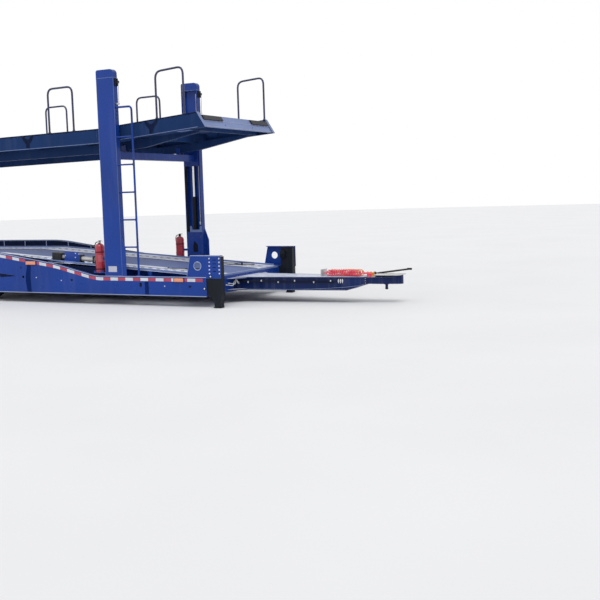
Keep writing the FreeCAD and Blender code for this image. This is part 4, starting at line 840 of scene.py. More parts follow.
def hose_route(y):
    start, end = HOSE_ENDS
    middle = (start + end) / 2
    return [(start, y, HOSE_LEVEL), (start + 0.13, y, HOSE_LEVEL), (middle, y + 0.05, HOSE_LEVEL),
        (end - 0.13, y, HOSE_LEVEL), (end, y, HOSE_LEVEL)]


def nurbs(name, points):
    curve = bpy.data.curves.new(name, "CURVE")
    curve.dimensions = "3D"
    nurbs_line(curve, points)
    obj = bpy.data.objects.new(name, curve)
    bpy.context.collection.objects.link(obj)
    return obj


def followed(points):
    """Points along the route's own smooth line, with the distance run to each."""
    guide = nurbs("guide", points)
    guide.data.splines[0].resolution_u = 24
    bpy.context.view_layer.update()
    mesh = bpy.data.meshes.new_from_object(guide)
    line = [v.co.copy() for v in mesh.vertices]
    bpy.data.objects.remove(guide, do_unlink=True)
    bpy.data.meshes.remove(mesh)
    runs = [0.0]
    for before, after in zip(line, line[1:]):
        runs.append(runs[-1] + (after - before).length)
    return line, runs


def at_run(line, runs, run):
    for index in range(len(line) - 1):
        if run <= runs[index + 1] or index == len(line) - 2:
            share = (run - runs[index]) / (runs[index + 1] - runs[index])
            ahead = (line[index + 1] - line[index]).normalized()
            return line[index].lerp(line[index + 1], share), ahead


def helix(points, turns, radius, per_turn=14, lead=0.05):
    """Control points of a coil wound round a route, straight at both ends."""
    line, runs = followed(points)
    whole = runs[-1]
    coil = [line[0], at_run(line, runs, lead * 0.5)[0]]
    count = turns * per_turn
    for index in range(count + 1):
        run = lead + (whole - 2 * lead) * index / count
        here, ahead = at_run(line, runs, run)
        side = Vector(UP).cross(ahead).normalized()
        up = ahead.cross(side)
        turn = 2 * math.pi * index / per_turn
        grown = min(1, index / per_turn, (count - index) / per_turn)
        reach = radius * (0.15 + 0.85 * grown)
        coil.append(here + side * (reach * math.sin(turn)) + up * (-reach * math.cos(turn)))
    coil += [at_run(line, runs, whole - lead * 0.5)[0], line[-1]]
    return coil


COUPLING_NECK = ((0.0005, 0), (0.013, 0), (0.017, 0.006), (0.017, 0.02), (0.011, 0.03),
    (0.011, 0.06), (0.0005, 0.06))
COUPLING_BODY = ((0.0005, 0), (0.028, 0), (0.031, 0.004), (0.031, 0.016), (0.026, 0.02),
    (0.026, 0.034), (0.033, 0.038), (0.033, 0.05), (0.029, 0.055), (0.018, 0.055), (0.016, 0.06),
    (0.01, 0.06), (0.008, 0.052), (0.0005, 0.052))


class TRAILER_OT_hoses(bpy.types.Operator):
    """Two curly air hoses lying on the drawbar with their coupling heads"""
    bl_idname = "trailer.hoses"
    bl_label = "Curly hoses"

    def execute(self, context):
        hoses = context.scene.trailer_hoses
        radius = hoses.tube / 2
        for name, y in (("red", -HOSE_ASIDE), ("yellow", HOSE_ASIDE)):
            head = self.coupling(name, y)
            coil = helix(hose_route(y), hoses.turns, COIL_RADIUS)
            cord = nurbs(name + "_curly_hose", coil)
            cord.data.splines[0].resolution_u = 3
            cord.data.bevel_depth = radius
            cord.data.bevel_resolution = 3
            cord.data.use_fill_caps = True
            cord.data.materials.append(finish(name + "_hose"))
            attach(cord, "chassis")
            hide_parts(name + "_air_hose")
        return {"FINISHED"}

    def coupling(self, name, y):
        """Coupling head: swivel neck, round body with its grip ring, and the seal's lip."""
        x, z, low = HOSE_ENDS[1], HOSE_LEVEL, DRAWBAR_TOP + 0.0005
        neck = lathe(COUPLING_NECK, (x, y, z), AHEAD, 20)
        body = lathe(COUPLING_BODY, (x + 0.098, y, low), UP, 28)
        ear = block((x + 0.05, y - 0.01, low + 0.012), (x + 0.085, y + 0.01, z + 0.014))
        head = single(name + "_coupling_head", [neck, body, ear], name + "_hose")
        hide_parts(name + "_hose_coupling")
        return head


# ---- finishes on the frame's own parts ----------------------------------------------------
class TRAILER_OT_finishes(bpy.types.Operator):
    """Paint and metal finishes of the frame's own parts"""
    bl_idname = "trailer.finishes"
    bl_label = "Frame finishes"

    def execute(self, context):
        for name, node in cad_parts.items():
            for slot in node.material_slots:
                key = slot.material.name.split(".")[0]
                slot.material = finish(NAMED_FINISHES.get(name, NODE_FINISHES[key]))
        return {"FINISHED"}


# ---- wheels -------------------------------------------------------------------------------
TYRE_HALF = 0.1055            # half of one tyre's width
TYRE_STEPS = 72
GROOVE = 0.011
# rise above the rim's radius, share of the half width
TYRE_SIDE = ((0.002, 0.74), (0.012, 0.8), (0.02, 0.86), (0.032, 0.905), (0.036, 0.93),
    (0.044, 0.93), (0.064, 0.985), (0.084, 0.992), (0.106, 0.975), (0.11, 0.985), (0.124, 0.965),
    (0.14, 0.9), (0.1535, 0.84), (0.1595, 0.8))
# radius, distance outwards from the middle of the twin
RIM_LINE = ((0.22, 0.2025), (0.222, 0.1965), (0.216, 0.1905), (0.212, 0.1685), (0.196, 0.1545),
    (0.192, 0.06), (0.188, 0.03), (0.17, 0.018), (0.138, 0.02), (0.128, 0.034), (0.1, 0.036),
    (0.09, 0.036), (0.088, 0.04), (0.08, 0.082), (0.072, 0.09), (0.046, 0.0945), (0.0455, 0.0945),
    (0.0455, -0.15), (0.095, -0.15), (0.095, -0.02), (0.208, -0.02), (0.208, -0.2025),
    (0.222, -0.2025), (0.218, -0.1905), (0.216, -0.1225), (0.218, 0), (0.218, 0.1225),
    (0.22, 0.2025))
HAND_HOLE = ((0, 0.0245), (0.0155, 0.0235), (0.0175, 0.0215), (0, 0.0195))
HOLE_CIRCLE = 0.1655
NUT_CIRCLE = 0.114


class TRAILER_OT_wheels(bpy.types.Operator):
    """Twin tyres with grooved treads on silver disc wheels"""
    bl_idname = "trailer.wheels"
    bl_label = "Wheels"

    def execute(self, context):
        tyres = context.scene.trailer_tyres
        twin = merged("twin", [self.tyre(tyres, TWIN_MIDDLE + side)
            for side in (-TWIN_HALF, TWIN_HALF)])
        kinds = ((twin, "tyres_%s_treaded", "tyre", "tyre", "tyres_%s"), (self.rim(),
            "disc_wheel_%s", "rim", "wheel_silver", "rim_%s"))
        for side, sign in (("left", 1), ("right", -1)):
            for axle, x in AXLE_PLACES:
                where = "%s_%s" % (axle, side)
                place = Matrix.Translation((x, 0, WHEEL_HEIGHT))
                place = place @ Matrix.Diagonal((1, sign, 1, 1))
                for obj, name, key, slot, node in kinds:
                    made = moved_copy(obj, place, name % where)
                    finished(made, key, "wheel_" + where, smooth=32.0)
                    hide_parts(node % where)
        for kind in kinds:
            bpy.data.objects.remove(kind[0], do_unlink=True)
        return {"FINISHED"}

    def tyre(self, tyres, y):
        """Tyre about the origin: bead, bulged sidewall with its ribs, shoulder, grooved tread."""
        side = [(RIM_RADIUS + rise, TYRE_HALF * share) for rise, share in TYRE_SIDE]
        tread = side[-1][1]
        pitch = 2 * tread / (tyres.grooves + 1)
        outline = list(side)
        for index in range(tyres.grooves):
            for deep, share in ((0, 1 / 2), (tyres.depth, 1 / 3), (tyres.depth, -1 / 3),
                    (0, -1 / 2)):
                outline.append((TYRE_RADIUS - deep, tread - pitch * (index + 1) + GROOVE * share))
        outline += [(radius, -across) for radius, across in reversed(side)]
        obj = lathe(outline + outline[:1], (0, y, 0), ASIDE, TYRE_STEPS, None)

        def shoulder(face):
            """Every other face of the tread's edge."""
            middle = face.center
            turn = math.atan2(middle.x, middle.z) / (2 * math.pi) * TYRE_STEPS
            edge = tread - pitch * 0.98 < abs(middle.y - y) < TYRE_HALF * 0.86
            high = math.hypot(middle.x, middle.z) > TYRE_RADIUS - 0.009
            return edge and high and round(turn - 0.5) % 2 == 0

        pick_faces(obj, shoulder)
        bpy.ops.mesh.inset(thickness=0.0022, use_individual=True)
        bpy.ops.transform.resize(value=(0.986, 1, 0.986), center_override=ORIGIN)
        leave()
        return obj

    def rim(self):
        """Twin rim about the origin: flanged barrel, dished disc with hand holes, hub, nuts."""
        y = TWIN_MIDDLE
        shell = lathe(RIM_LINE, (0, y, 0), ASIDE, 60)
        hole = lathe(HAND_HOLE, (0, y, HOLE_CIRCLE), ASIDE, 14)
        nut = merged("nut", [round_bar((0, y + start, NUT_CIRCLE), (0, y + end, NUT_CIRCLE),
            radius, sides, bevel) for start, end, radius, sides,
            bevel in ((0.034, 0.062, 0.0145, 6, 0.002), (0.06, 0.074, 0.0075, 8, 0.001))])
        for obj, key in ((shell, "rim"), (shell, "black"), (hole, "black"), (nut, "rim")):
            obj.data.materials.append(finish(key))
        holes = [Matrix.Rotation(2 * math.pi * index / 8, 4, "Y") for index in range(8)]
        nuts = [Matrix.Rotation(2 * math.pi * (index + 0.5) / 10, 4, "Y") for index in range(10)]
        return merged("rim", [shell] + placed(hole, holes) + placed(nut, nuts))


# ---- stripes and marker lamps -------------------------------------------------------------
MARKERS = ((-0.5, -0.27), (2.55, 2.74))


class TRAILER_OT_stripes(bpy.types.Operator):
    """Red and white reflective tape under the side beams' rail, with amber marker lamps"""
    bl_idname = "trailer.stripes"
    bl_label = "Stripes and markers"

    def execute(self, context):
        stripes = context.scene.trailer_stripes
        rail = beam_rail()
        high = stripes.height
        lengths = []
        stops = [-5.95] + [x for pair in MARKERS for x in pair] + [3.1]
        for start, end in zip(stops[::2], stops[1::2]):
            start += 0.012
            end -= 0.012
            top = height_on(rail, start) - stripes.drop
            section = [(start, HALF_WIDTH, top), (start, HALF_WIDTH + 0.0016, top - 0.002), (start,
                HALF_WIDTH + 0.0016, top - high + 0.002), (start, HALF_WIDTH, top - high)]
            line = line_between(rail, start, end, stripes.drop)
            lengths.append(run_along(section, line))
        pair("tape", lengths, "tape")
        self.markers(rail)
        return {"FINISHED"}

    def markers(self, rail):
        """Amber side lamps: a lens with a raised rim in a dark base."""
        lenses, bases = [], []
        for start, end in MARKERS:
            z = min(height_on(rail, start), height_on(rail, end)) - 0.014
            low = z - 0.075
            bases.append(block((start, HALF_WIDTH - 0.0005, low), (end, HALF_WIDTH + 0.006, z)))
            lens = block((start + 0.008, HALF_WIDTH + 0.004, low + 0.008),
                (end - 0.008, HALF_WIDTH + 0.02, z - 0.008), 0.006, 3)
            pick_faces(lens, lambda face: face.normal.y > 0.99)
            bpy.ops.mesh.inset(thickness=0.006)
            bpy.ops.transform.translate(value=(0, 0.003, 0))
            leave()
            lenses.append(lens)
        pair("marker_bases", bases, "black")
        pair("marker_lenses", lenses, "amber")


# ---- side beams ---------------------------------------------------------------------------
ARCH_FRONT = -1.272
ARCH_REAR = -3.528
ARCH_TOP = 0.8
ARCH_RADIUS = 0.3
REAR_SKIRT = 0.4
BEAM_ENDS = (-5.998, 3.148)
RIVETS = ((-0.285, 0.434), (0.261, 0.39), (2.367, 0.328), (-2.1, 0.905), (-4.85, 0.62))
PLUGS = ((0.486, 0.402), (2.847, 0.328), (1.901, 0.327))
RECESS = (-1.11, -0.764)
# Outlines of the dark bands at the side beams' seams, rear edge then front edge: painted shadow of
# each seam joint.
SEAM_SHADOWS = (([(-0.49, 0.682), (-0.482, 0.615), (-0.522, 0.455), (-0.527, 0.38), (-0.495, 0.182)],
    [(-0.396, 0.664), (-0.394, 0.6), (-0.411, 0.44), (-0.411, 0.37), (-0.402, 0.182)]),
    ([(1.98, 0.4), (1.98, 0.182)], [(2.056, 0.4), (2.056, 0.182)]))


def rounded(centre, start, steps=8):
    """Quarter of the arch's rounding, on towards the rear from the start angle."""
    angles = [start + math.pi / 2 * index / steps for index in range(steps + 1)]
    return [(centre[0] + ARCH_RADIUS * math.cos(a), centre[1] + ARCH_RADIUS * math.sin(a))
        for a in angles]


def skirt_line():
    """Lower edge of the side beam from its front end rearwards, round the wheel arch."""
    level = ARCH_TOP - ARCH_RADIUS
    return ([(BEAM_ENDS[1], SKIRT_LOW), (ARCH_FRONT, SKIRT_LOW)]
        + rounded((ARCH_FRONT - ARCH_RADIUS, level), 0) + rounded((ARCH_REAR + ARCH_RADIUS, level),
        math.pi / 2) + [(ARCH_REAR, REAR_SKIRT), (BEAM_ENDS[0], REAR_SKIRT)])


class TRAILER_OT_beams(bpy.types.Operator):
    """Edge beads in painted highlight, seams in painted shadow, rivets, plugs backed by painted
    shade and the painted shade of tie-down recesses of the side beams
    """
    bl_idname = "trailer.beams"
    bl_label = "Side beam fittings"

    def execute(self, context):
        rail = beam_rail()
        # Pale beads along the rail's edge and round the skirt: painted highlight of the edges.
        pair("rail_bead", [band(rail, 0.01, FACE, 0.0045)], "bright")
        pair("skirt_bead", [band(skirt_line(), 0.011, FACE, 0.004)], "bright")
        shadow_bands = []
        for rear, front in SEAM_SHADOWS:
            edges = rear + front[::-1]
            shadow_bands.append(upright(edges, FACE - 0.002, 0.0036, 0.0008))
        pair("seam_covers", shadow_bands, "seam")
        spots = [(x, FACE, z) for x, z in RIVETS]
        pair("beam_rivets", domes(spots, ASIDE, 0.0105, 0.006), "white", smooth=40)
        plugs = []
        for x, z in PLUGS:
            plug = round_bar((x, FACE, z), (x, FACE + 0.004, z), 0.017, 20, 0.001)
            edit(plug)
            bpy.ops.transform.resize(value=(1.5, 1, 1), center_override=(x, 0, z))
            bpy.ops.mesh.select_all(action="DESELECT")
            leave()
            plugs.append(plug)
        pair("drain_plugs", plugs, "recess")
        # Dark blocks behind the holes in the web: painted shade inside the beam.
        hole_shades = [block((x - 0.045, 1.2615, z - 0.04), (x + 0.045, 1.2655, z + 0.04), 0.001)
            for x, z in PLUGS]
        pair("web_backing", hole_shades, "recess")
        self.recess()
        self.lining(rail)
        return {"FINISHED"}

    def lining(self, rail):
        """Dark sheet of painted shade on the inner web above the tracks, with its ribs and a pale
        top strip of painted highlight.
        """
        y = HALF_WIDTH - 0.0605
        top = [(x, z) for x, _, z in line_between(rail, -5.93, 0.98, 0.01)]
        low = [(x, z) for x, _, z in line_between(DECK_KNEES, -5.93, 0.98, 0.02)]
        # Dark sheet standing in for the shade on the web's inner face.
        sheet = upright(top + low[::-1], y, -0.0035)
        pair("beam_linings", [sheet], "bracket")
        ribs = []
        for index in range(12):
            x = -5.6 + 0.565 * index
            z, floor = height_on(rail, x), height_on(DECK_KNEES, x)
            if z - floor > 0.05 and abs(x - REAR_POST) > 0.2:
                ribs.append(block((x - 0.005, y - 0.018, floor + 0.004),
                    (x + 0.005, y - 0.003, z - 0.012), 0.001))
        # The strip along the top is pale as painted highlight.
        strip = band(top, 0.008, y - 0.0055, 0.003)
        pair("lining_ribs", ribs + [strip], "bright")

    def recess(self):
        """Painted shade of the wedge-shaped tie-down pocket that tapers towards the front, with a
        rolled lip.
        """
        rear, front = RECESS
        outline = [(rear, 0.5), (front, 0.462), (front, 0.452), (rear + 0.05, 0.432),
            (rear, 0.438)]
        # A dark plate on the face stands in for the shade inside the pocket.
        dark = upright(outline, FACE, 0.0022, 0.0008)
        pair("tie_pocket", [dark], "bracket")
        lip = band(outline[:2], -0.005, FACE, 0.005)
        pair("tie_pocket_lip", [lip], "body", smooth=35)


# ---- posts --------------------------------------------------------------------------------
EAR = ((0, -0.005), (0, 0.098), (0.025, 0.114), (0.045, 0.092), (0.05, 0.04))
LABEL = ((-0.105, 0.545), (0.065, 0.545), (0.065, 0.64), (-0.105, 0.64))
WINDOW = ((-0.034, 0.735), (-0.018, 0.716), (0.05, 0.716), (0.066, 0.735), (0.066, 0.84),
    (0.05, 0.872), (0.016, 0.89), (-0.018, 0.872), (-0.034, 0.84))
PEG_LEVELS = [3.25 - 0.06 * index for index in range(5)]
POSTS = ((FRONT_POST, 0.48, 0.61), (REAR_POST, 0.96, 0.29))     # place, foot, its panel


class TRAILER_OT_posts(bpy.types.Operator):
    """Cap seams, peg holes of painted shade, cables, hoses and labels of the four lifting posts"""
    bl_idname = "trailer.posts"
    bl_label = "Lifting posts"

    def execute(self, context):
        trims, holes, cables, hoses, sockets, frames = [], [], [], [], [], []
        for x, base, panel in POSTS:
            front = x + POST_HALF
            rear = x - POST_HALF
            trims.append(block((rear - 0.0015, POST_INNER - 0.001, 3.664),
                (front + 0.0015, FACE + 0.0035, 3.672), 0.0015))
            for edge in (front - 0.004, rear + 0.004):
                trims.append(round_bar((edge, FACE - 0.001, base + 0.002),
                    (edge, FACE - 0.001, 3.655), 0.0042, 10, 0.001))
            trims.append(block((rear, FACE, base - 0.001), (front, FACE + 0.005, base + 0.007),
                0.002))
            # Peg holes are dark discs of painted shade.
            rows = [(-0.002, 0, z, 0.0012, 0, z, 0.011, 16, 0.0004) for z in PEG_LEVELS]
            holes += rods(rows, (front, POST_MIDDLE, 0))
            cables += self.cable(x, base)
            hoses += self.channel_hoses(x, base)
            sockets.append(self.socket(x, base + panel))
            frames += self.panel_frame(x, base, panel)
        pair("post_trim", trims, "edge", smooth=35)
        pair("peg_holes", holes, "recess")
        pair("lift_cables", cables, "zinc", smooth=40)
        pair("post_hoses", hoses, "rubber", smooth=40)
        pair("post_sockets", sockets, "pale")
        pair("foot_panel_frames", frames, "body")
        self.labels()
        return {"FINISHED"}

    def cable(self, x, base):
        """Steel cable from the cap's pulley down the channel, with its clamp."""
        place, front = (x, POST_INNER, 0), POST_HALF + 0.06
        ropes = rods(((0.13, 0.022, base + 0.75, 0.13, 0.022, 3.6, 0.0055, 10), (front - 0.008,
            0.05, 3.25, front, 0.05, 3.585, 0.005, 10, 0.001)), place)
        return ropes + bars(((0.118, 0.01, base + 0.74, 0.142, 0.034, base + 0.8), (POST_HALF
            - 0.002, 0.035, 3.235, front, 0.065, 3.262)), place)

    def channel_hoses(self, x, base):
        """Two hydraulic hoses clipped inside the channel's rear wall."""
        pieces = []
        for index, y in enumerate((1.195, 1.222)):
            line = [(x - 0.15, y, z) for z in (base + 0.35 + 0.04 * index, 2.2, 2.9)]
            pieces.append(tube(line + [(x - 0.148, y, 3.3 - 0.05 * index)], 0.0085))
        clips = [(-0.1622, 1.184, z, -0.1405, 1.234, z + 0.022) for z in (1.35, 2, 2.6, 3.1)]
        return pieces + bars(clips, (x, 0, 0))

    def socket(self, x, z):
        """Open socket on top of the foot panel that the cylinder stands in."""
        rear, front = x - 0.09, x + POST_HALF - 0.004
        outline = [(rear + a, z + b) for a, b in EAR]
        outline += [(front - a, z + b) for a, b in reversed(EAR)]
        return upright(outline, POST_INNER - 0.0075, 0.007, 0.0015)

    def panel_frame(self, x, base, panel):
        """Raised frame and corner bolts of the closed foot panel."""
        place = (x, POST_INNER - 0.0045, 0)
        half, low, high = POST_HALF - 0.012, base + 0.02, base + panel - 0.075
        rows = [(-half, 0, z, half, 0.005, z + 0.016, 0.0015) for z in (low, high)]
        rows += [(a, 0, low, a + 0.016, 0.005, high, 0.0015) for a in (-half, half - 0.016)]
        corners = [(sign * (half - 0.035), 0.004, z) for sign in (-1, 1)
            for z in (low + 0.04, high - 0.025)]
        return bars(rows, place) + bolts(shifted(place, corners), INWARD, 0.008)

    def labels(self):
        """Blank plates on the front posts' feet."""
        blank = upright([(FRONT_POST + a, z) for a, z in LABEL], FACE, 0.0022, 0.0008)
        pair("post_label", [blank], "label")
        # A dark plate in the foot panel's window stands in for the shade inside it.
        dark = upright([(FRONT_POST + a, z) for a, z in WINDOW], POST_INNER + 0.0005, -0.0035,
            0.0008)
        pair("foot_panel_window", [dark], "recess")


# ---- jacks and their brackets -------------------------------------------------------------
BRACKET_HOLE = (3, FACE, 0.655)
BOLT_ROWS = (3.219, 3.397)
BOLT_LEVELS = [0.772 - 0.058 * index for index in range(5)]


class TRAILER_OT_jacks(bpy.types.Operator):
    """Bracket bolts, slots, lamps and hole rims, and the jacks' feet and screws"""
    bl_idname = "trailer.jacks"
    bl_label = "Jacks and brackets"

    def execute(self, context):
        places = [(x, FACE, z) for x in BOLT_ROWS for z in BOLT_LEVELS]
        pair("bracket_bolts", bolts(places, ASIDE, 0.009), "white")
        slots = [block((3.278, FACE, z), (3.338, FACE + 0.0018, z + 0.013), 0.0008)
            for z in (0.742, 0.684, 0.626, 0.568)]
        pair("bracket_slots", slots, "recess")
        ring = lathe(((0.0615, 0), (0.063, 0.004), (0.07, 0.004), (0.072, 0), (0.0615, 0)),
            BRACKET_HOLE, ASIDE)
        lip = block((2.87, FACE, 0.81), (3.4185, FACE + 0.005, 0.8205), 0.0015)
        lean = band([(2.792, 0.481), (2.866, 0.818)], 0.01, FACE, 0.004)
        # The hole's ring and the top lip are pale as painted highlight.
        pair("bracket_edges", [ring, lip], "bright", smooth=35)
        pair("bracket_lean_edge", [lean], "edge", smooth=35)
        self.lamps()
        self.legs()
        return {"FINISHED"}

    def lamps(self):
        """Small white position lamps in dark holders under the brackets."""
        holders, lenses = [], []
        for x, z in ((3.118, 0.3), (3.236, 0.4905)):
            holders.append(block((x - 0.026, FACE, z - 0.018),
                (x + 0.026, FACE + 0.008, z + 0.018)))
            lenses += domes([(x, FACE + 0.007, z)], ASIDE, 0.014, 0.01)
        pair("position_lamp_holders", holders, "black")
        pair("position_lamps", lenses, "white", smooth=50)

    def legs(self):
        """Foot plates, retaining pins and drive boxes of the jacks."""
        pieces = bars(((3.262, 1.158, 0.0005, 3.398, 1.262, 0.016, 0.004),
            (3.186, 1.11, 0.62, 3.28, 1.156, 0.74, 0.006)))
        pieces += rods(((3.233, 1.06, 0.685, 3.233, 1.112, 0.685, 0.016, 18, 0.002), (3.3, 1.146,
            0.15, 3.3, 1.268, 0.15, 0.011, 14, 0.002)))
        pieces += bars([(3.184, 1.1535, z, 3.4145, 1.157, z + 0.012, 0.001)
            for z in (0.235, 0.3, 0.365, 0.43)])
        pieces += bolts([(3.205 + 0.055 * i, 1.1105, 0.64 + 0.08 * k) for i in (0, 1)
            for k in (0, 1)], INWARD, 0.007, 0.007)
        pair("jack_fittings", pieces, "black", smooth=35)


# ---- ladder and guard hoops ---------------------------------------------------------------
LADDER_Y = -1.2395
LADDER_FACE = FRONT_POST + POST_HALF
LADDER_STILE = 1.85
LADDER_LEVELS = [0.95 + 0.4425 * index for index in range(5)]
HOOP_STARTS = {"left": 2.71, "right": 2.5}
HOOP_PITCH = 2.2
HOOP_Y = 1.105
HOOP_HALF = 0.26              # half the length of one hoop
HOOP_RISE = 0.7315            # to the middle of its top tube
TUBE_RADIUS = 0.0168          # tube of the hoops and of the ladder


class TRAILER_OT_ladder(bpy.types.Operator):
    """Round-tube ladder beside the right-hand front post"""
    bl_idname = "trailer.ladder"
    bl_label = "Ladder"

    def execute(self, context):
        y = LADDER_Y
        x = LADDER_STILE
        face = LADDER_FACE
        stile = tube([(x, y, 0.4805), (x, y, 1.2), (x, y, 2), (x, y, 3.07), (x, y, 3.193),
            (x - 0.12, y, 3.193), (face + 0.001, y, 3.193)], TUBE_RADIUS)
        pieces = [stile]
        collar = lathe(((0.0125, 0), (0.021, 0), (0.019, 0.004), (0.0125, 0.008), (0.0125, 0)),
            ORIGIN, UP, 16)
        collars = []
        for z in LADDER_LEVELS:
            pieces.append(round_bar((face, y, z), (x - 0.01, y, z), 0.0128, 14))
            collars += facing(AHEAD, [(face, y, z)])
            collars += facing((-1, 0, 0), [(x - 0.0165, y, z)])
        pieces += placed(collar, collars)
        pieces.append(block((x - 0.05, y - 0.03, 0.4805), (x + 0.05, y + 0.03, 0.487), 0.002))
        pieces += bolts([(x - 0.036, y, 0.486), (x + 0.036, y, 0.486)], UP, 0.007, 0.007)
        ladder = single("ladder_round_tube", pieces, "body", smooth=40)
        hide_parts("ladder")
        return {"FINISHED"}


class TRAILER_OT_hoops(bpy.types.Operator):
    """Bent-tube guard hoops on the upper rails, with their foot plates"""
    bl_idname = "trailer.hoops"
    bl_label = "Guard hoops"

    def execute(self, context):
        for side, sign in (("left", 1), ("right", -1)):
            pieces = []
            for index in range(4):
                centre = HOOP_STARTS[side] - HOOP_PITCH * index
                pieces += self.hoop(centre, sign * HOOP_Y)
            hoops = single("guard_hoops_%s_bent" % side, pieces, "hoop", "upper_deck", smooth=40)
            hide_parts("guard_hoops_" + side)
        return {"FINISHED"}

    def hoop(self, centre, y):
        rear, front = centre - HOOP_HALF, centre + HOOP_HALF
        low_rear, low_front = (height_on(UPPER_KNEES, x) + 0.001 for x in (rear, front))
        tops = ((rear, low_rear + HOOP_RISE), (front, low_front + HOOP_RISE))
        line = [(rear, y, low_rear), (rear, y, low_rear + 0.35), (rear, y, low_rear + 0.5)]
        line += [(x, y, height_on(tops, x)) for x in (rear, rear + 0.21, centre, front - 0.21,
            front)]
        line += [(front, y, low_front + 0.5), (front, y, low_front + 0.35), (front, y, low_front)]
        pieces = [tube(line, TUBE_RADIUS)]
        for x, z in ((rear, low_rear), (front, low_front)):
            foot = round_bar((x, y, z - 0.001), (x, y, z + 0.007), 0.028, 20, 0.0015)
            pieces += [foot, round_bar((x, y, z + 0.006), (x, y, z + 0.022), 0.0205, 18, 0.002)]
        return pieces


# ---- fire extinguishers -------------------------------------------------------------------
BOTTLE = (1.0375, 1.186, 0.53)    # foot of the bottle's axis
BOTTLE_LINE = ((0, 0.004), (0.06, 0.004), (0.064, 0), (0.07, 0), (0.073, 0.012), (0.0775, 0.022),
    (0.0775, 0.19), (0.0775, 0.408), (0.0765, 0.424), (0.072, 0.442), (0.062, 0.458),
    (0.046, 0.47), (0.03, 0.477), (0.024, 0.48), (0, 0.48))
VALVE_LINE = ((0, 0.478), (0.022, 0.478), (0.022, 0.488), (0.017, 0.492), (0.017, 0.514),
    (0.021, 0.518), (0.021, 0.526), (0, 0.526))
BOTTLE_HOSE = ((-0.018, 0.002, 0.502), (-0.06, 0.004, 0.51), (-0.098, 0.004, 0.455),
    (-0.09, 0.006, 0.37), (-0.086, 0.006, 0.27), (-0.086, 0.006, 0.19))


class TRAILER_OT_extinguishers(bpy.types.Operator):
    """Fire extinguishers in their cradles behind the front posts"""
    bl_idname = "trailer.extinguishers"
    bl_label = "Fire extinguishers"

    def execute(self, context):
        made = pair("extinguisher_bottle", [lathe(BOTTLE_LINE, BOTTLE, UP, 40)], "safety",
            smooth=35, slot="safety_red")
        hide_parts("fire_extinguishers")
        black = [lathe(VALVE_LINE, BOTTLE, UP, 20)]
        for low, tilt in ((0.52, 0.006), (0.504, -0.004)):
            grip = ((-0.018, -0.012, low), (0.06, -0.01, low + tilt + 0.004),
                (0.06, -0.01, low + tilt + 0.008), (-0.018, -0.012, low + 0.006))
            black.append(plate(shifted(BOTTLE, grip), (0, 0.022, 0), 0.0015))
        black.append(tube(shifted(BOTTLE, BOTTLE_HOSE), 0.0075))
        nozzle = shifted(BOTTLE, ((-0.086, 0.006, 0.195), (-0.086, 0.006, 0.135)))
        black.append(round_bar(*nozzle, 0.0125, 16, 0.003))
        bands = [lathe(((0.077, low), (0.0792, low + 0.001), (0.0792, low + 0.017),
            (0.077, low + 0.018), (0.077, low)), BOTTLE, UP, 40) for low in (0.05, 0.33)]
        pair("extinguisher_fittings", black, "black", smooth=40)
        pair("extinguisher_straps", bands, "recess", smooth=40)
        gauge = shifted(BOTTLE, ((0.01, 0.016, 0.502), (0.01, 0.03, 0.502)))
        pair("extinguisher_gauge", [round_bar(*gauge, 0.0125, 20, 0.002)], "white", smooth=40)
        sheet = [(0.01, way, z) for way, z in ((0.0772, 0.18), (0.0784, 0.18), (0.0784, 0.29),
            (0.0772, 0.29), (0.0772, 0.18))]
        label = turned(shifted(BOTTLE, sheet), BOTTLE, UP, 14, math.radians(75), smooth=30)
        edit(label)
        bpy.ops.mesh.select_all(action="DESELECT")
        bpy.ops.mesh.select_non_manifold()
        bpy.ops.mesh.edge_face_add()
        leave()
        pair("extinguisher_label", [outward(label)], "red_label")
        self.cradle()
        return {"FINISHED"}

    def cradle(self):
        """Shelf with upturned lips, back plate and side guards."""
        back = FRONT_POST - POST_HALF - BOTTLE[0]
        rows = [(-0.098, -0.062, -0.008, back, 0.062, -0.0005, 0.0015), (back - 0.008, 0, -0.008,
            back, 0.062, 0.25, 0.0015), (0.076, -0.012, 0.21, back, 0.012, 0.25, 0.0015)]
        rows += [(-0.098, low, -0.002, 0.098, low + 0.004, 0.03, 0.001) for low in (-0.062, 0.058)]
        rows.append((-0.098, -0.062, -0.002, -0.094, 0.062, 0.03, 0.001))
        pair("extinguisher_cradle", bars(rows, BOTTLE), "body")


# ---- winch --------------------------------------------------------------------------------
WINCH_START = -0.08
WINCH_Y = -1.03
WINCH_AXIS = 0.085


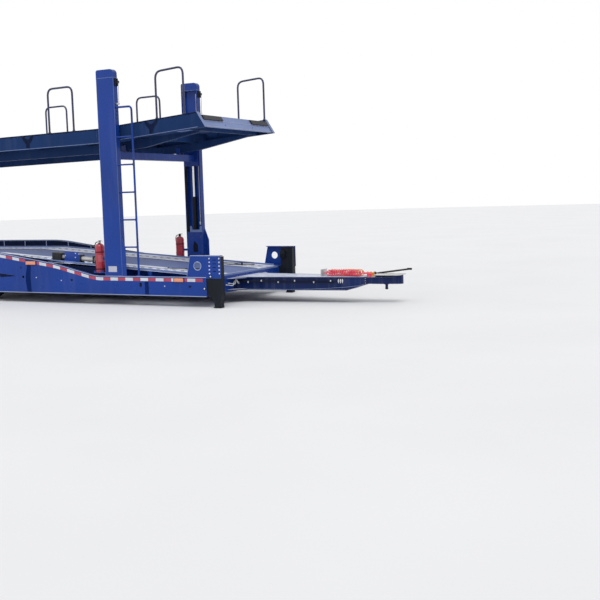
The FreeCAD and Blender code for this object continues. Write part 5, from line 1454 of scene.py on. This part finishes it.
class TRAILER_OT_winch(bpy.types.Operator):
    """Strap winch with its gearbox, collar, guard plate and drum on the right-hand track"""
    bl_idname = "trailer.winch"
    bl_label = "Winch"

    def execute(self, context):
        y = WINCH_Y
        rows = [(0, -0.074, 0.0005, 0.889, 0.074, 0.01, 0.002), (0.002, -0.068, 0.01, 0.198, 0.068,
            0.158, 0.014, 3)]
        rows += [(0.02 + 0.03 * i, -0.0695, 0.03, 0.03 + 0.03 * i, 0.0695, 0.1585, 0.002)
            for i in range(6)]
        rows += [(x, -0.059, 0.009, x + 0.014, 0.059, 0.149) for x in (0.28, 0.596, 0.87)]
        dark = bars(rows, (0, y, 0)) + rods([(0.1, y, 0.155, 0.1, y, 0.168, 0.012, 6, 0.002)])
        dark += bolts([(0.1 + 0.17 * i, y + s * 0.066, 0.01) for i in range(5) for s in (-1, 1)],
            UP, 0.008, 0.008)
        silver = self.along([(0.198, 0), (0.198, 0.033), (0.212, 0.0335), (0.216, 0.028),
            (0.262, 0.028), (0.266, 0.0335), (0.281, 0.0335), (0.281, 0)])
        drum = [(0.281, 0), (0.281, 0.044), (0.292, 0.044), (0.294, 0.0385)]
        for index in range(7):
            x = 0.32 + 0.075 * index
            drum += [(x, 0.0385), (x + 0.004, 0.0398), (x + 0.03, 0.0398), (x + 0.034, 0.0385)]
        drum += [(0.87, 0.0385), (0.872, 0.044), (0.884, 0.044), (0.884, 0)]
        roll = self.along(drum)
        guard_y = y - 0.07
        guard = plate([(0.281, guard_y, 0.01), (0.609, guard_y, 0.01), (0.609, guard_y, 0.175),
            (0.59, guard_y, 0.194), (0.3, guard_y, 0.194), (0.281, guard_y, 0.175)], (0, 0.01, 0),
            0.003, 2)
        heads = bolts([(0.305, guard_y, 0.12), (0.52, guard_y, 0.172), (0.52, guard_y, 0.104),
            (0.594, guard_y, 0.166)], INWARD, 0.0075, 0.008)
        top, low = (height_on(DECK_KNEES, WINCH_START), DECK_KNEES[-1])
        slope = math.atan2(DECK_KNEES[2][1] - low[1], low[0] - DECK_KNEES[2][0])
        seat = (Matrix.Translation((WINCH_START, 0, top)) @ Matrix.Rotation(slope, 4, "Y"))
        for name, pieces, finish in (("winch_gearbox", dark, "cast"),
                ("winch_collar", [silver], "zinc"), ("winch_drum", [roll], "steel"),
                ("winch_guard", [guard], "body"), ("winch_guard_bolts", heads, "white")):
            whole = merged(name, pieces)
            whole.data.transform(seat)
            finished(whole, finish, smooth=35)
            if name == "winch_gearbox":
                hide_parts("winch")
        return {"FINISHED"}

    def along(self, profile):
        """Shape turned about the winch's axis from places (distance, radius)."""
        return lathe([(radius, x) for x, radius in profile], (0, WINCH_Y, WINCH_AXIS), AHEAD, 36)


# ---- upper rails --------------------------------------------------------------------------
RAIL_HIGH = 0.24
BRACKETS = [2.1425 - 2.57 * index for index in range(4)]


class TRAILER_OT_rails(bpy.types.Operator):
    """Caps, lips, forked brackets, ribs and end plates of the upper deck's rails"""
    bl_idname = "trailer.rails"
    bl_label = "Upper rails"

    def execute(self, context):
        face = RAIL_FACE - SKIN
        rail = edge_line("upper_rail_left", RAIL_FACE, UPPER_KNEES)
        caps = [band(rail, 0.02, face, 0.0035)]
        for index in range(29):
            x = 2.86 - 0.305 * index
            z = height_on(rail, x)
            caps.append(block((x - 0.01, face, z - 0.034), (x + 0.01, face + 0.0035, z - 0.006),
                0.001))
        pair("rail_caps", caps, "bracket", "upper_deck")
        lip = band(offset_line(rail, RAIL_HIGH - 0.011), 0.01, face, 0.004)
        end = band([(3.15, 2.799), (2.998, 3.042)], 0.007, RAIL_FACE + 0.003, -0.072, 0.0025)
        pair("rail_lips", [lip, end], "edge", "upper_deck", smooth=35)
        forks = [self.fork(x, height_on(rail, x) - 0.012, face) for x in BRACKETS]
        pair("rail_forks", forks, "bracket", "upper_deck")
        inner = 1.0752
        ribs = []
        for index in range(15):
            x = 2.62 - 0.58 * index
            z = height_on(rail, x)
            ribs.append(block((x - 0.006, inner - 0.022, z - RAIL_HIGH + 0.006),
                (x + 0.006, inner, z - TRACK_DROP - 0.014), 0.0015))
        pair("rail_ribs", ribs, "rail", "upper_deck")
        self.front()
        return {"FINISHED"}

    def fork(self, x, z, face):
        """Forked doubler plate of a loading arm's seat."""
        half = [(0.14, 0), (0.086, 0), (0.022, -0.058)]
        lower = [(0.038, -0.215), (0.042, -0.14), (0.098, -0.08)]
        outline = half + [(-a, b) for a, b in reversed(half)]
        outline += [(-a, b) for a, b in reversed(lower)] + lower
        return plate([(x + a, face, z + b) for a, b in outline], (0, 0.0045, 0), 0.0015)

    def front(self):
        """Beads and bolts on the deck's slanted front beam."""
        def on_face(share, out=0.0):
            return (3.012 + 0.121 * share + 0.848 * out, 3.002 - 0.194 * share + 0.529 * out)
        beads = []
        # The beads are pale as painted highlight on the beam's edges.
        for share in (0.02, 0.46, 0.95):
            line = [on_face(share - 0.022), on_face(share + 0.022)]
            beads.append(plate([(x, -1.074, z) for x, z in line + [on_face(share + 0.015, 0.005),
                on_face(share - 0.015, 0.005)]], (0, 2.148, 0), 0.001))
        single("front_beam_beads", beads, "bright", "upper_deck", smooth=35)
        tails = bolts([(*on_face(0.72)[:1], y, on_face(0.72)[1]) for y in (0.44, 1.062)],
            (0.848, 0, 0.529), 0.009, 0.009)
        pair("front_beam_bolts", tails, "edge", "upper_deck")


# ---- wheel tracks -------------------------------------------------------------------------
TREADS = ((0.515, 0.69), (0.905, 1.085))
SLOT_ROWS = (0.745, 0.85)


def slanting(knees, x):
    rise = height_on(knees, x + 0.01) - height_on(knees, x - 0.01)
    return Matrix.Rotation(-math.atan2(rise, 0.02), 4, "Y")


def track_slots(knees, start, end, rows, drop, pitch=0.16):
    """Rows of long strap holes, drawn as dark discs of painted shade."""
    hole = round_bar((0, 0, -0.001), (0, 0, 0.0014), 0.016, 10)
    hole.data.transform(Matrix.Diagonal((2.4, 1, 1, 1)))
    count = int((end - start) / pitch)
    places = []
    for index in range(count):
        for row, y in enumerate(rows):
            x = start + pitch * (index + 0.5 * (row % 2))
            place = Matrix.Translation((x, y, height_on(knees, x) - drop))
            places.append(place @ slanting(knees, x))
    return placed(hole, places)


class TRAILER_OT_decks(bpy.types.Operator):
    """Tread strips, strap holes of painted shade and curbs of the wheel tracks on both decks"""
    bl_idname = "trailer.decks"
    bl_label = "Wheel tracks"

    def execute(self, context):
        low = (-5.92, 3.07)
        treads = [lying_strip(DECK_KNEES, *low, sides, 0, 0.003) for sides in TREADS]
        pair("lower_treads", treads, "tread")
        curb = lying_strip(DECK_KNEES, *low, (1.09, 1.105), 0, 0.03, 0.003)
        pair("lower_curbs", [curb], "pale", smooth=35)
        filler = lying_strip(DECK_KNEES, -5.92, 0.42, (1.103, 1.2155), 0, 0.004)
        pair("track_side_plates", [filler], "tread")
        pair("lower_strap_holes", track_slots(DECK_KNEES, -5.8, 3, SLOT_ROWS, 0), "recess")
        beads = [lying_strip(DECK_KNEES, *low, sides, 0, 0.0055, 0.0015)
            for sides in ((0.497, 0.509), (0.7, 0.708), (0.89, 0.898))]
        pair("lower_track_beads", beads, "edge", smooth=35)
        high = (-5.8, 2.89)
        treads = [lying_strip(UPPER_KNEES, *high, sides, TRACK_DROP, 0.003)
            for sides in ((0.395, 0.6), (0.85, 1.055))]
        pair("upper_treads", treads, "tread", "upper_deck")
        pair("upper_strap_holes", track_slots(UPPER_KNEES, -5.7, 2.85, (0.672, 0.778), TRACK_DROP),
            "recess", "upper_deck")
        curb = lying_strip(UPPER_KNEES, *high, (0.381, 0.391), TRACK_DROP, 0.022, 0.002)
        pair("upper_curbs", [curb], "edge", "upper_deck", smooth=35)
        top = block((3.091, -1.1, 0.4748), (3.1435, 1.1, 0.4795), 0.002)
        front = block((3.1415, -1.1, 0.452), (3.145, 1.1, 0.4785), 0.001)
        single("crossbeam_edge", [top, front], "pale")
        return {"FINISHED"}


# ---- drawbar ------------------------------------------------------------------------------
DRAWBAR_ROOT = (3.142, 0.42)
DRAWBAR_TIP = (5.35, 0.15)
PIN = (5.655, 0, 0)         # the coupling pin's axis meets the ground here
# ahead, aside, rise and share of the shift between the two air lines
LOOP = ((-0.002, 0.6, 0, 1), (0.05, 0.6, 0, 1), (0.095, 0.57, -0.015, 1), (0.085, 0.51, -0.01, 1),
    (0.06, 0.475, 0.055, 0.5), (0.07, 0.455, 0.06, 0), (0.085, 0.44, 0.01, 0),
    (0.1, 0.425, 0.004, 0))
WEAR_PLATE = ((5.498, 0.15), (5.52, 0.172), (5.88, 0.172), (5.934, 0.12))


def drawbar_side(x, out=0.0):
    """Half width of the drawbar at x, moved outwards."""
    return height_on((DRAWBAR_ROOT, DRAWBAR_TIP), x) + out


class TRAILER_OT_drawbar(bpy.types.Operator):
    """Edge strips, clipped air pipe, fittings and coupling details of the drawbar"""
    bl_idname = "trailer.drawbar"
    bl_label = "Drawbar"

    def execute(self, context):
        ends = (3.15, 5.346)
        strip = [(x, drawbar_side(x, 0.0015), DRAWBAR_TOP - 0.001) for x in ends]
        strip += [(x, drawbar_side(x, -0.016), DRAWBAR_TOP - 0.001) for x in reversed(ends)]
        # The strip along the drawbar's top edge is pale as painted highlight.
        edge = plate(strip, (0, 0, 0.0038), 0.0012)
        side = [(x, drawbar_side(x, 0.004), z) for x, z in ((ends[0], 0.204), (5.045, 0.204),
            (ends[1], 0.299))]
        bead = tube(side, 0.0038)
        pair("drawbar_edges", [edge, bead], "edge", smooth=35)
        self.pipes()
        self.root()
        self.head()
        return {"FINISHED"}

    def pipes(self):
        """Black pipes along both sides, held by white clips, with fittings at their ends."""
        pipes, clips = [], []
        for level, end in ((0.352, 4.985), (0.33, 4.86)):
            places = (3.2, 3.45, 3.75, 4.1, 4.45, end)
            line = [(x, drawbar_side(x, 0.013), level + 0.004 * (-1) ** index) for index,
                x in enumerate(places)]
            pipes.append(tube(line, 0.0075))
        for index, x in enumerate((3.4, 3.63, 3.92, 4.2, 4.52, 4.8)):
            y = drawbar_side(x)
            z = 0.352 if index % 2 else 0.33
            clips.append(block((x - 0.008, y - 0.002, z - 0.013),
                (x + 0.008, y + 0.0225, z + 0.013)))
        pair("drawbar_pipes", pipes, "recess", smooth=40)
        for index in range(3):
            x = 4.93 + 0.032 * index
            y = drawbar_side(x)
            clips.append(round_bar((x, y + 0.015, 0.318), (x, y + 0.015, 0.382), 0.0075, 10,
                0.0015))
            clips.append(block((x - 0.01, y + 0.002, 0.34), (x + 0.01, y + 0.026, 0.36), 0.002))
        pair("pipe_clips", clips, "white", smooth=35)

    def root(self):
        """Air lines that loop from the crossbeam into the drawbar, and its corner gussets."""
        x = 3.142
        loops = []
        for shift, level in ((0, 0.322), (0.07, 0.302)):
            line = [(x + a, y + share * shift, level + rise) for a, y, rise, share in LOOP]
            loops.append(tube(line, 0.0065))
            loops += rods([(-0.001, 0, 0, 0.022, 0, 0, 0.0125, 6, 0.002)], (x, 0.6 + shift, level))
        pair("air_line_loops", loops, "white", smooth=40)
        gussets = []
        for low, high in ((0.204, 0.222), (0.385, 0.403)):
            gussets.append(plate([(x - 0.001, 0.418, low), (x - 0.001, 0.64, low),
                (x + 0.02, 0.64, low), (x + 0.23, 0.392, low)], (0, 0, high - low), 0.003))
        pair("drawbar_gussets", gussets, "drawbar")

    def head(self):
        """Flange, wear plate, pin collar and the lever's sleeve."""
        flange = upright(((5.346, 0.293), (5.356, 0.293), (5.356, 0.417), (5.346, 0.417)), -0.158,
            0.316, 0.002)
        single("head_flange", [flange], "head")
        half = [(x, -y, 0.4425) for x, y in WEAR_PLATE]
        wear = plate(half + [(x, -y, z) for x, y, z in reversed(half)], (0, 0, 0.0085), 0.0025, 2)
        single("head_wear_plate", [wear], "greased")
        places = [(5.352, s * 0.144, z) for s in (-1, 1) for z in (0.32, 0.355, 0.39)]
        single("head_bolts", bolts(places, AHEAD, 0.0085, 0.013), "zinc")
        ring = lathe(((0.026, 0.3105), (0.044, 0.3105), (0.04, 0.292), (0.026, 0.288),
            (0.026, 0.3105)), PIN, UP, 28)
        tip = lathe(((0, 0.212), (0.016, 0.212), (0.024, 0.219), (0.024, 0.234), (0, 0.234)), PIN,
            UP, 28)
        single("coupling_pin_collar", [ring, tip], "cast", smooth=35)
        grip = round_bar((5.47, 0.112, 0.455), (6.026, 0.112, 0.5285), 0.014, 18, 0.004)
        boss = round_bar((5.415, 0.094, 0.455), (5.415, 0.13, 0.455), 0.022, 18, 0.003)
        single("lever_grip", [grip, boss], "rubber", smooth=35)


# ---- rear end -----------------------------------------------------------------------------
TAIL_LAMP = (-5.992, -6.03, 0.855, 1.195, 0.455, 0.555)     # back, front, sides, levels
LENSES = (("stop_lens", 1.075, 1.189, "ruby"), ("turn_lens", 0.973, 1.071, "amber"),
    ("reverse_lens", 0.915, 0.969, "white"), ("fog_lens", 0.861, 0.911, "ruby"))
RIB_PITCH = 0.0115
HOOK = ((-5.995, 0.372), (-5.995, 0.426), (-6.022, 0.426), (-6.034, 0.4), (-6.022, 0.396),
    (-6.014, 0.408), (-6.006, 0.372))


class TRAILER_OT_rear(bpy.types.Operator):
    """Tail lamps, plate holder, bumper stripes and loading ramps' fittings"""
    bl_idname = "trailer.rear"
    bl_label = "Rear end"

    def execute(self, context):
        self.lamps()
        for name, first in (("white", 0), ("red", 1)):
            pieces = []
            for index in range(first, 8, 2):
                y = 0.005 + 0.142 * index
                pieces.append(plate([(-5.9915, y, 0.246), (-5.9915, y + 0.138, 0.246),
                    (-5.9915, y + 0.138, 0.304), (-5.9915, y, 0.304)], (-0.0025, 0, 0), 0.0006))
            pair("bumper_%s_blocks" % name, pieces, name + "_tape")
        caps = [block((-5.9935, 1.1535, 0.2285), (-5.9105, 1.16, 0.3215), 0.002)]
        caps += [block((-5.9955, 0.745, 0.3), (-5.9085, 0.775, 0.4405), 0.002)]
        pair("bumper_ends", caps, "rubber")
        self.plate_holder()
        self.ramps()
        return {"FINISHED"}

    def lamps(self):
        """Long lamps with red, amber and clear lenses in black housings."""
        back, front, inner, outer, low, high = TAIL_LAMP
        housing = block((front + 0.016, inner, low), (back + 0.001, outer, high), 0.006, 3)
        kit = [round_bar((back + 0.02, y, 0.5), (back - 0.012, y, 0.5), 0.006, 10)
            for y in (0.95, 1.1)]
        made = pair("tail_lamp_housing", [housing] + kit, "black", smooth=35, slot="lamp_red")
        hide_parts("tail_lamps")
        for name, start, end, key in LENSES:
            rows = [(front, start, low + 0.006, front + 0.022, end, high - 0.006, 0.005, 3)]
            for index in range(int((end - start - 0.016) / RIB_PITCH)):
                y = start + 0.008 + RIB_PITCH * index
                rows.append((front - 0.0012, y, low + 0.014, front + 0.002, y + 0.0045, high
                    - 0.014, 0.001))
            pair(name, bars(rows), key, smooth=35)

    def plate_holder(self):
        """Blank plate, its lamp and triangular reflectors on the rear crossbeam."""
        board = block((-6, -0.27, 0.462), (-5.991, 0.27, 0.578))
        blank = block((-6.0035, -0.255, 0.468), (-5.999, 0.255, 0.572), 0.0015)
        single("number_plate_board", [board], "black")
        single("blank_number_plate", [blank], "white")
        lamp = block((-6.012, -0.045, 0.576), (-5.985, 0.045, 0.5945), 0.005, 3)
        single("plate_lamp", [lamp], "black", smooth=35)
        points = [(-5.992, 0.6, 0.462), (-5.992, 0.735, 0.462), (-5.992, 0.6675, 0.578)]
        back = plate(points, (-0.006, 0, 0), 0.002)
        pair("triangle_frames", [back], "black")
        inner = [(x - 0.0055, 0.6675 + 0.8 * (y - 0.6675), 0.5007 + 0.8 * (z - 0.5007)) for x, y,
            z in points]
        pair("triangle_reflectors", [plate(inner, (-0.003, 0, 0), 0.001)], "ruby")

    def ramps(self):
        """Grip bars across the stowed ramps, their hooks and holding straps."""
        places = [-5.93 + 0.11 * index for index in range(17)]
        pair("ramp_bars", bars([(x, 0.105, 0.4265, x + 0.022, 0.415, 0.4335, 0.002)
            for x in places]), "zinc")
        hooks = [upright(HOOK, y, 0.022, 0.002) for y in (0.13, 0.36)]
        pair("ramp_hooks", hooks, "steel")


# ---- running gear -------------------------------------------------------------------------
SPRING_Y = 0.55
HANGER = ((-0.06, 0.62), (0.06, 0.62), (0.042, 0.47), (0, 0.445), (-0.042, 0.47))
CHAMBER_LINE = ((0, 0), (0.05, 0), (0.066, 0.018), (0.07, 0.05), (0.078, 0.054), (0.078, 0.07),
    (0.07, 0.074), (0.068, 0.12), (0.074, 0.124), (0.074, 0.136), (0.066, 0.14), (0.06, 0.19),
    (0.04, 0.206), (0, 0.206))
TANK_BAND = ((0.1042, 0), (0.1075, 0), (0.1075, 0.028), (0.1042, 0.028), (0.1042, 0))
TANK = (0.125, 0.41)          # axis of the air tanks: distance from the middle, height


class TRAILER_OT_gear(bpy.types.Operator):
    """U-bolts, spring hangers, brake chambers and air tank fittings under the trailer"""
    bl_idname = "trailer.gear"
    bl_label = "Running gear"

    def execute(self, context):
        ties, seats, cans, bands = [], [], [], []
        for _, x in AXLE_PLACES:
            place = (x, SPRING_Y, 0)
            for a in (-0.085, 0.085):
                for b in (-0.058, 0.058):
                    ties += rods([(a, b, 0.285, a, b, 0.592, 0.009, 10, 0.001)], place)
                    ties += bolts(shifted(place, [(a, b, 0.29)]), (0, 0, -1), 0.015, 0.018)
            seats += bars(((-0.115, -0.075, 0.558, 0.115, 0.075, 0.59, 0.005), (-0.115, -0.075,
                0.292, 0.115, 0.075, 0.31, 0.004)), place)
            cans += self.chamber(x + 0.2)
        for x in (-1.155, -2.4, -3.645):
            seats += [upright([(x + a, z) for a, z in HANGER], SPRING_Y + b, 0.006, 0.0015)
                for b in (-0.056, 0.05)]
            ties += rods([(0, -0.066, 0.48, 0, 0.066, 0.48, 0.014, 14, 0.003)], (x, SPRING_Y, 0))
        for _, x in AXLE_PLACES:
            for a in (-0.33, 0.33):
                seats += bars([(a - 0.012, -0.054, 0.452, a + 0.012, 0.054, 0.5615, 0.002)],
                    (x, SPRING_Y, 0))
        pair("spring_ties", ties, "zinc", smooth=35)
        pair("spring_seats", seats, "black")
        pair("brake_chambers", cans, "cast", smooth=35)
        y, z = TANK
        for x in (-0.2, 0.43):
            ring = lathe(TANK_BAND, (x, y, z), AHEAD, 36)
            bands += [ring, block((x, y - 0.012, 0.516), (x + 0.028, y + 0.012, 0.6))]
        bands += rods(((0.1, y, 0.286, 0.1, y, 0.306, 0.012, 6, 0.002),
            (0.606, y, z, 0.622, y, z, 0.014, 6, 0.002)))
        pair("tank_bands", bands, "zinc", smooth=35)
        y = 0.615
        bends = ((2.95, 0, 0), (1.8, 0, 0), (1.7, 0.004, 0), (0.6, 0, 0), (-0.6, 0, 0),
            (-0.8, 0.01, -0.01), (-1.1, 0.01, 0))
        pipes = [tube(shifted((0, y, level), bends), 0.0075) for level in (0.56, 0.535)]
        pipes += [block((x - 0.01, y - 0.012, 0.52), (x + 0.01, y + 0.012, 0.575))
            for x in (2.7, 2, 1.3, 0.6, -0.1, -0.75)]
        pair("chassis_pipes", pipes, "rubber", smooth=40)
        return {"FINISHED"}

    def chamber(self, x):
        """Two-part brake chamber with its clamp band, push rod and slack adjuster."""
        y, z = 0.32, 0.5
        rod, shaft = rods(((-0.09, 0, -0.004, 0.002, 0, 0, 0.009, 12), (-0.096, -0.012, -0.1,
            -0.096, 0.48, -0.1, 0.016, 14, 0.002)), (x, y, z))
        arm = block((x - 0.112, y - 0.014, 0.39), (x - 0.08, y + 0.014, z + 0.02), 0.005)
        return [lathe(CHAMBER_LINE, (x, y, z), AHEAD, 28), rod, arm, shaft]


# ---- lifting beams ------------------------------------------------------------------------
class TRAILER_OT_lifts(bpy.types.Operator):
    """Pins, wear pads and bolts of the beams that carry the upper deck"""
    bl_idname = "trailer.lifts"
    bl_label = "Lifting beams"

    def execute(self, context):
        for name, x, body in (("front", FRONT_POST, "front_carriage"),
                ("rear", REAR_POST, "rear_carriage")):
            low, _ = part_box(name + "_lift_beam")
            foot = low.z
            places = [(x + sx * 0.035, 1.1478, foot + z) for sx in (-1, 1) for z in (0.16, 0.32)]
            heads = bolts(places, INWARD, 0.012, 0.01)
            pair(name + "_carriage_bolts", heads, "zinc", body)
            pads = bars([(a - 0.012, 1.185, z, a + 0.012, 1.245, z + 0.09) for a in (-0.098, 0.098)
                for z in (0, 0.3)], (x, 0, foot))
            pair(name + "_wear_pads", pads, "rubber", body)
        return {"FINISHED"}


# ---- panel --------------------------------------------------------------------------------
class TRAILER_PT_tools(bpy.types.Panel):
    """Lists the trailer's pieces and settings"""
    bl_idname = "TRAILER_PT_tools"
    bl_label = "Trailer"
    bl_space_type = "VIEW_3D"
    bl_region_type = "UI"
    bl_category = "Trailer"

    def draw(self, context):
        for operator in OPERATORS:
            self.layout.operator(operator.bl_idname)
        for name, group in GROUPS.items():
            box = self.layout.box()
            for key in group.__annotations__:
                box.prop(getattr(context.scene, name), key)


OPERATORS = (TRAILER_OT_stage, TRAILER_OT_hoses, TRAILER_OT_finishes, TRAILER_OT_wheels,
    TRAILER_OT_stripes, TRAILER_OT_beams, TRAILER_OT_posts, TRAILER_OT_jacks, TRAILER_OT_ladder,
    TRAILER_OT_hoops, TRAILER_OT_extinguishers, TRAILER_OT_winch, TRAILER_OT_rails,
    TRAILER_OT_decks, TRAILER_OT_drawbar, TRAILER_OT_rear, TRAILER_OT_gear, TRAILER_OT_lifts)


def register():
    for group in (*GROUPS.values(), *OPERATORS, TRAILER_PT_tools):
        bpy.utils.register_class(group)
    for name, group in GROUPS.items():
        setattr(bpy.types.Scene, name, PointerProperty(type=group))


def unregister():
    for name in GROUPS:
        delattr(bpy.types.Scene, name)
    for group in reversed((*GROUPS.values(), *OPERATORS, TRAILER_PT_tools)):
        bpy.utils.unregister_class(group)


def main():
    register()
    for operator in OPERATORS:
        kind, action = operator.bl_idname.split(".")
        getattr(getattr(bpy.ops, kind), action)()


if __name__ == "__main__":
    main()
